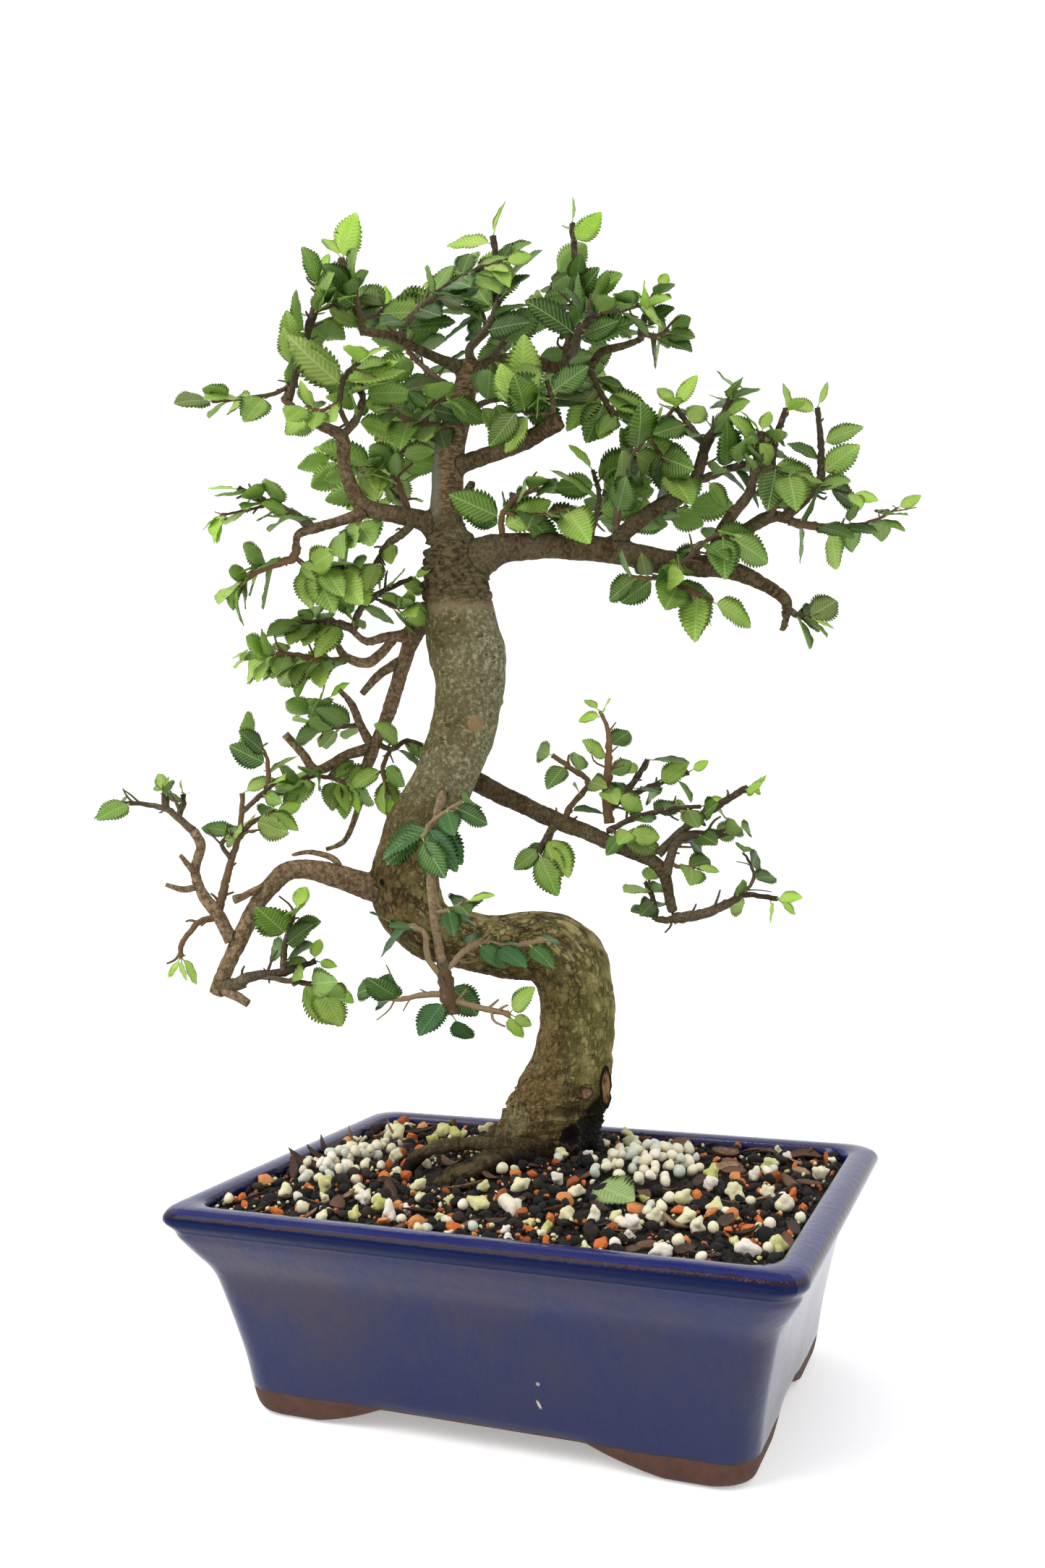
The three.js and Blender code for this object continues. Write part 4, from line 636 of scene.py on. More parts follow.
def pour(centre_x, centre_y, radius_x, radius_y, count, draw):
    """Prills dropped one by one over an ellipse, each coming to rest on the ground or on those below."""
    rested = np.zeros((0, 4))
    for _ in range(count):
        away, turn = math.sqrt(draw.uniform()) ** 1.12, draw.uniform(0, math.tau)
        x = centre_x + radius_x * away * math.cos(turn)
        y = centre_y + radius_y * away * math.sin(turn)
        patchy = 0.78 + 0.5 * noise.noise((x * 0.11, y * 0.11, 2))
        past_wall = abs(x) > STREWN_LONG - 2 or abs(y) > STREWN_DEEP - 2
        if away > patchy or past_wall or math.dist((x, y), TRUNK_FOOT) < 18:
            continue
        size = draw.uniform(1.85, 2.55)
        z = ground(x, y) - 0.6 + size * 0.9
        if len(rested):
            flat = ((rested[:, :2] - (x, y)) ** 2).sum(1)
            reach = ((rested[:, 3] + size) * 0.96) ** 2
            over = flat < reach
            if over.any():
                z = max(z, (rested[over, 2] + np.sqrt(reach[over] - flat[over])).max())
        if z - ground(x, y) > 2.2 + 5.0 * (1 - away):
            continue
        rested = np.vstack([rested, (x, y, z, size)])
    return rested


def prill_coat():
    look = Look("prill_coat", Roughness=0.42)
    tone = look.mark("tone")
    look.bump(look.grain(2.5, 3), 0.12)
    return look.paint(Base_Color=look.layered(
        (0.58, 0.62, 0.54),
        (look.rise(tone, 0.1, 0.4), (0.80, 0.74, 0.52)),
        (look.rise(tone, 0.6, 0.95), (0.86, 0.78, 0.66)),
        (look.rise(look.grain(0.6, 3), 0.58, 0.8) * 0.5, (0.60, 0.50, 0.28))))


def prills(name, centres, sizes, replaced=()):
    made = grains(centres, sizes, draw, lobes=2, core=0.86, rough=0.012, stretch=0.1)
    make_grains(name, made, coat, replaced)


coat = prill_coat()
for name, count in (("pellets_right", 620), ("pellets_left", 300)):
    poured = pour(*HEAPS[name], count, draw)
    prills(name + "_prills", poured[:, :3], poured[:, 3], [name])
strewn, _ = scatter(draw.uniform(1.8, 2.5, 44), draw, taken, keep=0.6)
prills("strewn_prills", laid(strewn, -0.1), strewn[:, 2])

# Fallen leaf
# One green leaf lies on the soil before the trunk. It is the tree's own kind, an oval blade with blunt
# teeth, a sunk midrib and a side vein to each tooth, paler below. The leaves on the twigs are made by the
# same rule.
TEETH = 11
FIRST_TOOTH, LAST_TOOTH = 0.1, 0.965


def leaf_rows():
    """Shares along the blade where it has a row of points, and how far its teeth stand out there."""
    rows = [(0.0, 0.0), (0.03, 0.0), (0.065, 0.0)]
    step = (LAST_TOOTH - FIRST_TOOTH) / TEETH
    for tooth in range(TEETH):
        start = FIRST_TOOTH + tooth * step
        rows += [(start, 0.0), (start + step * 0.42, 0.75), (start + step * 0.86, 1.0)]
    return np.array(rows + [(LAST_TOOTH, 0.0), (1.0, 0.0)])


LEAF_ROWS = leaf_rows()
LEAF_ACROSS = np.array([-1, -0.5, 0, 0.5, 1])
# A blade's half width by its length, and the height of its outline's curve, which is divided by it
LEAF_HALF_WIDTH, OUTLINE_PEAK = 0.268, 0.3675


def leaf_faces():
    """The blade's faces: its top, then its underside, which shares the edge, the base and the tip."""
    inner = len(LEAF_ROWS) - 2
    base, tip = 0, 1 + 5 * inner
    below = tip + 1

    def top(row, column):
        return 1 + 5 * row + column

    def bottom(row, column):
        return top(row, column) if column in (0, 4) else below + 3 * row + column - 1

    faces = []
    for side in (top, bottom):
        made = [(base, side(0, c + 1), side(0, c)) for c in range(4)]
        made += [(tip, side(inner - 1, c), side(inner - 1, c + 1)) for c in range(4)]
        for row in range(inner - 1):
            made += [
                (side(row, c), side(row, c + 1), side(row + 1, c + 1), side(row + 1, c)) for c in range(4)]
        faces += made if side is top else [tuple(reversed(face)) for face in made]
    return faces


LEAF_FACES = leaf_faces()


def leaf_blade(root, heading, normal, length, draw, young=0.0, cup=None, droop=None):
    """One blade from its base: points, and for each point its place on the blade and the blade's looks."""
    along, out = LEAF_ROWS[1:-1, 0], LEAF_ROWS[1:-1, 1]
    cup = draw.uniform(0.02, 0.13) if cup is None else cup
    droop = draw.uniform(0.0, 0.2) if droop is None else droop
    twist, wave = draw.uniform(-0.25, 0.25), draw.uniform(0, math.tau)
    width = LEAF_HALF_WIDTH * draw.uniform(0.88, 1.12) * (0.9 if young > 0.5 else 1)
    shape = (along ** 0.6) * ((1 - along) ** 0.88) / OUTLINE_PEAK
    tooth = 0.16 * out * np.minimum(1, shape * 1.3)
    s = np.repeat(along[:, None], 5, 1)
    t = np.repeat(LEAF_ACROSS[None], len(along), 0)
    half = width * shape[:, None] * (1 + tooth[:, None] * (abs(t) > 0.9) * 1.6)
    u = t * half
    s = s + (abs(t) > 0.9) * out[:, None] * 0.016
    bend = s * s
    lift = cup * abs(t) ** 1.4 * shape[:, None] * 0.8 - droop * bend + twist * u * s
    lift += 0.012 * np.sin(s * 17 + wave) * abs(t) * np.sign(t + 0.3)
    top = np.stack([s, u, lift], -1)
    thick = 0.011 * (1 - abs(t)) ** 0.7 * np.minimum(1, (1 - s) * 6)
    bottom = top[:, 1:4] - np.stack([0 * thick, 0 * thick, thick], -1)[:, 1:4]
    local = np.concatenate([
        [(0, 0, 0)], top.reshape(-1, 3), [(1, 0, -droop)], bottom.reshape(-1, 3)])
    across = np.cross(normal, heading)
    points = root + length * (
        local[:, :1] * heading + local[:, 1:2] * across + local[:, 2:] * normal)
    under = np.zeros(len(local))
    under[-3 * len(along):] = 1
    place = np.column_stack([local[:, 0], local[:, 1], under])
    nature = np.tile((draw.uniform(0, 1), young, draw.uniform(0, 1)), (len(local), 1))
    return points, place, nature


def leaf_green(name, dark, light, bright, matt):
    look = Look(name, Roughness=0.4, Specular_IOR_Level=0.32)
    s, u, under = look.axes(look.mark("leaf_place", "Vector"))
    tone, young, chance = look.axes(look.mark("leaf_nature", "Vector"))
    away = abs(u)
    blotch = look.grain(0.16, 3) + (chance.least(1) - 0.5) * 0.3
    vein_row = (s - away * 0.85) * 11.5 + 0.12
    to_vein = abs(vein_row - vein_row.floor() - 0.5)
    side_vein = look.rise(to_vein, 0.05, 0.17, 1, 0) * look.rise(away, 0.27, 0.2) * look.rise(s, 0.02, 0.1)
    rib = look.rise(away, 0.007, 0.016, 1, 0)
    cells = look.node("TexVoronoi", {"Vector": look.spot, "Scale": 1.9}, feature="DISTANCE_TO_EDGE")
    net = look.rise(cells, 0.02, 0.1, 1, 0)
    bluish = look.rise(chance, 0.6, 1.0) * 0.4 + look.rise(chance, 1.2, 1.5) * 0.4
    lime = look.mix(look.rise(s, 0.1, 0.9), (0.76, 0.92, 0.24), (0.52, 0.80, 0.10))
    between = look.rise(to_vein, 0.22, 0.42) * look.rise(away, 0.30, 0.16) * look.rise(away, 0.01, 0.05)
    between = between * look.rise(chance, 1.2, 1.5, 0.36, 0.12)
    colour = look.layered(
        dark,
        (tone ** 2.3, light),
        (look.rise(tone, 0.5, 1.0) * 0.8, bright),
        (look.rise(blotch, 0.42, 0.72) * 0.4, (0.140, 0.28, 0.018)),
        (bluish, (0.046, 0.150, 0.056)),
        (look.rise(chance, 0.15, 0.05) * 0.6, (0.190, 0.190, 0.058)),
        (young, lime),
        (between, look.mix(tone, (0.010, 0.040, 0.003), (0.070, 0.200, 0.012))))
    ribbed = (rib * 0.9).most(side_vein * 0.6).most(net * 0.12) * look.rise(chance, 1.2, 1.5, 1, 0.45)
    rim = look.rise(away / (abs(s * (1 - s)) ** 0.62 * 0.64 + 0.01), 0.80, 1.0) * 0.25
    pale = look.layered(
        (0.13, 0.235, 0.055), (tone, (0.22, 0.35, 0.075)), (ribbed, (0.30, 0.42, 0.17)),
        (young, (0.38, 0.58, 0.10)))
    colour = look.layered(
        colour,
        (ribbed, look.mix(0.5, colour, (0.56, 0.72, 0.30))),
        (rim, (0.12, 0.22, 0.04)),
        (under, pale))
    veins = rib.most(side_vein * 0.6).most(net * 0.15)
    look.bump((0.5 - veins * 0.5) * (1 - under) + veins * under * 0.6 + look.grain(1.1, 3) * 0.12, 0.28, 0.8)
    look.paint(Base_Color=colour, Roughness=matt + under * 0.25 + look.grain(0.5, 2) * 0.12)
    glow = look.mix(young, look.mix(tone, (0.09, 0.26, 0.01), (0.26, 0.50, 0.02)), (0.62, 0.90, 0.10))
    through = look.node("BsdfTranslucent", {"Color": glow})
    both = look.node("MixShader", {0: 0.27 + young * 0.16, 1: Wire(look.shader.outputs[0]), 2: through})
    feed(look.tree.nodes["Material Output"].inputs["Surface"], both)
    return look.material


def unit(vector):
    return vector / np.linalg.norm(vector)


wilting = leaf_green("fallen_leaf", (0.30, 0.42, 0.14), (0.42, 0.56, 0.22), (0.44, 0.58, 0.24), 0.6)
heading = np.array([math.cos(-0.6), math.sin(-0.6), 0.0])
upper = np.array([-0.10, -0.38, 0.9])
points, place, nature = leaf_blade(
    np.array([25.0, -12.0, ground(25, -12) + 2.6]), heading, unit(upper - heading * (upper @ heading)), 21.0,
    draw, cup=0.08, droop=0.03)
nature[:, 0], nature[:, 2] = 0.8, 0.4
make_piece(
    "fallen_elm_leaf", points, LEAF_FACES, [wilting], ["fallen_leaf"],
    {"leaf_place": place, "leaf_nature": nature})

# Tree
# Trunk, bare limbs and surface roots are one living piece of wood under its bark. It bends right at the
# base, back left over the pot and up again. The bark is rough on the low bend, smooth grey-green higher up,
# scaly brown on the limbs and dark and wet where it meets the soil. Painted light lies on its lit sides and
# the roots' tops, and painted shade on its right foot.
TREE_FOOT = np.array([-10.0, 36.0, 0.0])
TREE_TURN = math.radians(21.72)
# Each limb's route in the tree's own front view, in millimetres from the trunk's foot, and its radius
LIMBS = {
    "trunk": [
        (-3, 0, 59, 20.7), (-1, 0, 78, 19.3), (3, 0, 92, 17), (7, 0, 102, 16.2), (11, 1, 121, 14.7),
        (10, 3, 140, 15.4), (4, 4, 150, 15.5), (-6, 5, 153, 13.9), (-20, 6, 153, 12.4), (-34, 6, 156, 11.5),
        (-46, 5, 160, 12.1), (-53, 3, 168, 13.2), (-56, 1, 178, 13.4), (-55, 0, 187, 13.1),
        (-51, -1, 200, 12.2), (-44, -2, 212, 11.9), (-38, -2, 223, 12.4), (-32, -2, 239, 13.1),
        (-29, 0, 257, 14), (-30, 0, 270, 15.4), (-32, 0, 282, 14), (-34, 0, 299, 12.3), (-35, 0, 310, 10),
        (-37, 0, 319, 7.4), (-37, 0, 331, 6.4), (-36, 1, 344, 6.2), (-34, 1, 357, 5.9), (-30, 2, 370, 5.2),
        (-27, 2, 386, 4),
    ],
    "right_branch": [
        (-33, 0, 299, 8), (-25, -2, 306, 8), (-15, -4, 310, 6), (-4, -6, 310, 5.4), (10, -8, 309, 4.9),
        (26, -10, 307, 5.1), (41, -12, 303, 4.8), (56, -14, 300, 4.3), (70, -16, 298, 3.9),
        (82, -18, 293, 2.8), (92, -19, 286, 2.5), (93, -20, 280, 1.7), (91, -20, 273, 1.4),
    ],
    "right_upper": [
        (26, -10, 307, 3.4), (34, -12, 315, 3.4), (44, -13, 322, 3.1), (53, -14, 326, 3.1),
        (58, -15, 330, 2.6),
    ],
    "right_far": [
        (65, -16, 299, 2.8), (71, -15, 307, 3.1), (80, -13, 314, 2.8), (90, -12, 319, 2.5),
        (97, -11, 317, 1.7),
    ],
    "right_mid": [
        (66, -15, 300, 2.8), (68, -18, 310, 2.6), (73, -20, 318, 2.3), (79, -22, 325, 2.1),
        (81, -23, 333, 1.6),
    ],
    "low_left": [
        (-57, 0, 175, 5.7), (-67, -3, 177, 5.4), (-78, -7, 181, 4.8), (-89, -11, 185, 4.2),
        (-99, -14, 185, 3.9), (-105, -16, 180, 3.6), (-111, -18, 172, 3.4), (-116, -19, 162, 3.3),
        (-121, -20, 151, 3.1), (-126, -21, 139, 2.9),
    ],
    "low_left_up": [
        (-120, -20, 159, 2.7), (-125, -20, 169, 2.3), (-131, -19, 177, 2.1), (-134, -18, 186, 1.8),
        (-132, -17, 195, 1.9), (-135, -16, 201, 1.7),
    ],
    "mid_left": [
        (-40, 4, 288, 4.9), (-50, 10, 281, 4.4), (-55, 16, 271, 3.2), (-60, 21, 258, 3),
        (-65, 26, 245, 2.8), (-71, 30, 233, 2.6), (-76, 33, 220, 2), (-78, 35, 211, 1.4),
    ],
    "mid_left_fore": [(-52, 12, 278, 2.9), (-62, 7, 277, 2.2), (-70, 3, 275, 1.7), (-75, 1, 279, 1.4)],
    "mid_left_low": [
        (-71, 30, 234, 2.4), (-82, 30, 231, 2.1), (-94, 29, 225, 2.1), (-100, 28, 232, 1.8),
        (-107, 27, 240, 1.8),
    ],
    "upper_left": [
        (-38, 0, 314, 5.7), (-45, -1, 321, 4.6), (-56, -3, 324, 3.7), (-67, -6, 326, 3.7),
        (-73, -8, 332, 3.1), (-76, -10, 343, 2.7), (-77, -11, 353, 2.8), (-86, -12, 358, 2.1),
        (-94, -13, 363, 1.8), (-99, -14, 368, 1.7),
    ],
    "upper_left_low": [
        (-69, -7, 324, 2.3), (-79, -10, 320, 2.1), (-88, -13, 317, 2), (-94, -14, 314, 1.5),
        (-94, -15, 307, 1.4),
    ],
    "crown_left": [
        (-27, 2, 382, 3.5), (-38, 0, 386, 2.2), (-48, -3, 390, 1.9), (-58, -6, 394, 1.7),
        (-68, -8, 395, 1.7),
    ],
    "crown_right": [
        (-27, 2, 380, 3.7), (-15, 3, 386, 3.2), (-2, 5, 386, 2.9), (9, 7, 384, 2.5), (20, 8, 384, 2.2),
        (26, 9, 391, 1.8), (35, 10, 394, 1.6), (43, 11, 397, 1.3),
    ],
    "crown_stub": [
        (-34, 0, 343, 3.7), (-19, -8, 346, 3.4), (-6, -14, 349, 3.4), (4, -20, 353, 3.6),
        (8, -22, 355, 3.6),
    ],
    "lower_right": [
        (-33, 8, 222, 4.3), (-21, 10, 215, 3.9), (-9, 8, 209, 3.6), (3, 4, 203, 3.7), (15, 0, 198, 3.4),
        (28, -5, 192, 3.1), (40, -9, 187, 2.8), (45, -11, 181, 2.5), (47, -12, 172, 2.1),
        (48, -13, 166.5, 1.9),
    ],
    "front_hanging": [
        (-39, -9, 217, 2.2), (-41, -20, 207, 1.8), (-42, -30, 195, 1.7), (-43, -36, 182, 1.7),
        (-42, -40, 169, 1.7), (-40, -43, 157, 1.8), (-39, -44, 151, 2),
    ],
    "low_left_stub": [
        (-106, -16, 180, 1.9), (-111, -20, 178, 1.5), (-115, -22, 176, 1.5), (-118, -24, 175, 1.8),
    ],
    "low_left_dead": [(-80, -9, 183, 1.4), (-82, -10, 189, 1.3), (-91, -12, 192, 1), (-98, -13, 191, 0.6)],
    "low_left_foot": [(-125, -21, 142, 2.2), (-118, -24, 139, 1.8), (-113, -25, 136, 1.5)],
    "low_left_peg": [(-133, -18, 183, 1.2), (-136, -20, 188, 1.1), (-139, -21, 192, 0.8)],
    "low_left_snag": [(-132, -18, 180, 1.4), (-138, -21, 179, 1.2), (-144, -23, 181, 0.8)],
    "mid_left_end": [(-77, 35, 212, 1.5), (-80, 34, 203, 1.2), (-84, 32, 195, 1.1), (-91, 30, 192, 0.8)],
    "mid_left_second": [
        (-60, 10, 276, 2), (-69, 6, 267, 2), (-78, 4, 269, 1.7), (-82, 3, 275, 1.3), (-85, 2, 283, 1.3),
    ],
    "mid_left_elbow": [(-57, 18, 269, 2.1), (-66, 15, 263, 1.8), (-73, 12, 255, 1.3)],
    "mid_left_rise": [(-71, 30, 234, 2.3), (-76, 28, 244, 1.8), (-79, 26, 252, 1.5), (-84, 25, 258, 1)],
    "leader_snag": [(-37, 0, 328, 2.9), (-30, -8, 329, 2.5), (-26, -11, 335, 1.7)],
    "root_arch": [
        (8, -8, 77, 4.7), (-5, -17, 79, 3), (-17, -21, 81, 2.6), (-31, -23, 82, 2.6), (-43, -24, 81, 2.6),
        (-52, -24, 76, 2.6), (-56, -25, 67, 2.3),
    ],
    "root_hump": [
        (-5, -8, 75, 8.4), (-17, -22, 74, 6.3), (-29, -31, 73, 5.9), (-40, -37, 69, 5), (-46, -40, 58, 3.4),
    ],
    "root_right": [(8, -2, 79, 7.1), (19, -6, 72, 4.8), (27, -10, 66, 3.1), (35, -12, 55, 1.9)],
    "root_left": [(-12, 3, 81, 7.1), (-24, 9, 75, 4.6), (-35, 14, 67, 3.2), (-45, 17, 53, 2)],
    "root_back": [(1, 8, 80, 7.2), (6, 17, 66, 4.6), (9, 21, 44, 2.6)],
}


def grown(x, y, z):
    """A place in the tree's own front view, turned into the pot's frame."""
    c, s = math.cos(TREE_TURN), math.sin(TREE_TURN)
    return TREE_FOOT + (c * x - s * y, s * x + c * y, z)


def cross_axes(path):
    """For each point of a path two axes across it, which don't twist along it, and the run up to it."""
    headings = np.gradient(path, axis=0)
    headings /= np.linalg.norm(headings, axis=1)[:, None]
    runs = np.concatenate([[0], np.cumsum(np.linalg.norm(np.diff(path, axis=0), axis=1))])
    first = np.cross(headings[0], (1, 0, 0) if abs(headings[0][2]) > 0.9 else (0, 0, 1))
    for heading, run in zip(headings, runs):
        first = unit(first - heading * (first @ heading))
        yield first, np.cross(heading, first), run


def tube(path, radii, sides):
    """A round tube with capped ends, as points and faces."""
    path = np.asarray(path, float)
    angles = np.arange(sides) * math.tau / sides
    rings = []
    for centre, radius, (first, second, _) in zip(path, radii, cross_axes(path)):
        circle = np.column_stack([np.cos(angles), np.sin(angles)]) * radius
        rings.append(centre + circle[:, :1] * first + circle[:, 1:] * second)
    return loft(rings)


def limb_course(rows, step):
    """A limb's fine path and radii through its rows."""
    rows = np.array([(*grown(x, y, z), radius) for x, y, z, radius in rows])
    reach = np.linalg.norm(np.diff(rows[:, :3], axis=0), axis=1).sum()
    steps = max(3, math.ceil(reach / step))
    course = np.array([spline(rows, share) for share in np.linspace(0, 1, steps + 1)])
    return course[:, :3], course[:, 3]


# The radius over which a limb is fused with the others rather than being a tube of its own
FUSED_OVER = 2.75


def thickest(rows):
    return max(row[3] for row in rows)


def gathered(parts):
    """Tubes or blades put together as one mesh: their points and faces."""
    points, faces, start = [], [], 0
    for made_points, made_faces in parts:
        points.append(made_points)
        faces += [tuple(index + start for index in face) for face in made_faces]
        start += len(made_points)
    return np.concatenate(points), faces


def fused_wood():
    """The thick limbs grown together: their tubes remeshed as one skin and smoothed."""
    points, faces = gathered([
        tube(*limb_course(rows, 2.0), 20) for rows in LIMBS.values() if thickest(rows) > FUSED_OVER])
    wood = add_object("wood", points * MM, faces)
    fused = wood.modifiers.new("fused", "REMESH")
    fused.mode = "VOXEL"
    fused.voxel_size = 0.93 * MM
    soft = wood.modifiers.new("soft", "SMOOTH")
    soft.factor = 0.5
    soft.iterations = 3
    made = solved(wood)
    points = np.empty(len(made.vertices) * 3, np.float32)
    made.vertices.foreach_get("co", points)
    normals = np.empty(len(made.vertices) * 3, np.float32)
    made.vertex_normals.foreach_get("vector", normals)
    faces = [tuple(p.vertices) for p in made.polygons]
    bpy.data.objects.remove(wood)
    return points.reshape(-1, 3).astype(float) / MM, normals.reshape(-1, 3).astype(float), faces


def wood_skeleton():
    """Samples along every limb: place, radius, two cross axes, run, and whether it's the trunk or peeled."""
    samples = []
    for name, rows in LIMBS.items():
        course, radii = limb_course(rows, 1.2)
        for centre, radius, (first, second, run) in zip(course, radii, cross_axes(course)):
            samples.append((*centre, radius, *first, *second, run, name == "trunk", name == "front_hanging"))
    return np.array(samples)


def nearest_wood(points, skeleton):
    """For each point the skeleton sample whose skin it lies nearest to."""
    found = np.empty(len(points), int)
    for start in range(0, len(points), 4000):
        some = points[start:start + 4000]
        apart = np.sqrt((
            (some ** 2).sum(1)[:, None] - 2 * some @ skeleton[:, :3].T + (skeleton[:, :3] ** 2).sum(1)
        ).clip(0))
        found[start:start + 4000] = np.argmin(apart - skeleton[:, 3], axis=1)
    return found


# A cut knot and a hollow at the trunk's right foot, then all the marks on the trunk: where in the tree's
# front view, how wide, how far they stand out or in, and how corky they are, or how dark if under zero
KNOT, HOLLOW = (12.7, -14, 98.6), (7.3, -18, 83.2)
SCARS = [
    (-26.7, -13, 240.5, 3.4, 0.5, 1.0), (-62.4, -12, 173.5, 3.2, 0.7, 0.6), (*KNOT, 3.0, 2.2, 0.9),
    (6.9, -15, 114, 5.5, 0.6, 0.3), (-65.4, -11, 179.6, 2.6, -0.9, -0.6), (*HOLLOW, 3.9, -2.4, -0.8),
    (-68.4, -6, 151.6, 4.0, 1.3, 0.0), (24.6, -4, 104.8, 5.5, 1.1, 0.4), (-52.6, -10, 149, 5.0, 0.5, 0.0),
    (-14.7, 0, 249.2, 1.6, 1.2, 0.0), (-17.5, -2, 262, 1.8, 1.0, 0.2), (-44, -9, 276, 2.2, 0.6, 0.3),
]


def smooth_step(values, low, high):
    t = np.clip((np.asarray(values, float) - low) / (high - low), 0, 1)
    return t * t * (3 - 2 * t)


def evened(values, faces, rounds=7):
    """Values of a mesh's points, each drawn towards its neighbours' mean so that they change softly."""
    pairs = np.array([(a, b) for face in faces for a, b in zip(face, face[1:] + face[:1])])
    counts = np.bincount(pairs[:, 0], minlength=len(values)) + 1e-9
    for _ in range(rounds):
        values = (values + np.bincount(pairs[:, 0], values[pairs[:, 1]], len(values)) / counts) / 2
    return values


def weathered(points, normals, skeleton, found, faces):
    """The skin with its bark's lumps, fissures, wrinkles and scars, and the marks its material reads."""
    near = skeleton[found]
    centre, first, second = near[:, :3], near[:, 4:7], near[:, 7:10]
    radius, run, is_trunk, is_peeled = near[:, 3], near[:, 10], near[:, 11], near[:, 12]
    on_trunk = evened(is_trunk, faces)
    arm = points - centre
    straight = np.column_stack([(arm * first).sum(1), (arm * second).sum(1), run])
    z = points[:, 2]
    rough = on_trunk * (1 - smooth_step(run, 165, 215)) + (1 - on_trunk) * 0.35
    base = 1 - smooth_step(z, 84, 112)
    wavy = z + 5 * np.array([noise.noise(point * 0.12) for point in points])
    collar = on_trunk * smooth_step(wavy, 285, 293) * (1 - smooth_step(wavy, 312, 324))
    seed = is_trunk * 40
    push = np.empty(len(points))
    for index, (point, (a, b, c)) in enumerate(zip(points, straight)):
        lump = noise.noise(point * 0.09) * 0.9 + noise.noise(point * 0.3) * 0.28
        crack = 1 - abs(noise.noise((a * 0.34, b * 0.34, c * 0.24 + seed[index]))) * 4.2
        wrinkle = noise.noise((a * 0.16, b * 0.16, c * 0.62))
        flute = noise.noise((a * 0.2, b * 0.2, c * 0.02))
        fold = 1 - abs(noise.noise((a * 0.05 + c * 0.03, b * 0.05, c * 0.30 - a * 0.12 + 7))) * 3
        scale = min(1.0, radius[index] / 9)
        push[index] = (
            lump * (0.35 + 0.65 * scale) * min(1, radius[index] / 3)
            - rough[index] * max(0, crack) * 0.34 * scale
            + base[index] * (flute * 2.2 + fold * 1.5) * scale
            + collar[index] * (wrinkle * 2.6 + 0.4)
            + (1 - on_trunk[index]) * wrinkle * 0.28)
    scar = np.zeros(len(points))
    for x, y, height, width, rise, tan in SCARS:
        away = np.linalg.norm(points - grown(x, y, height), axis=1) / width
        dome = np.exp(-away ** 2 * 1.4)
        ring = np.exp(-((away - 0.85) / 0.3) ** 2)
        push += rise * (0.45 * dome + 0.55 * ring if rise > 0 else dome)
        scar += tan * smooth_step(-away, -1.15, -0.75)
    return points + normals * push[:, None], {
        "straight": straight, "girth": evened(radius, faces), "rough": rough, "collar": collar, "scar": scar,
        "trunk": on_trunk, "pale": is_peeled,
    }


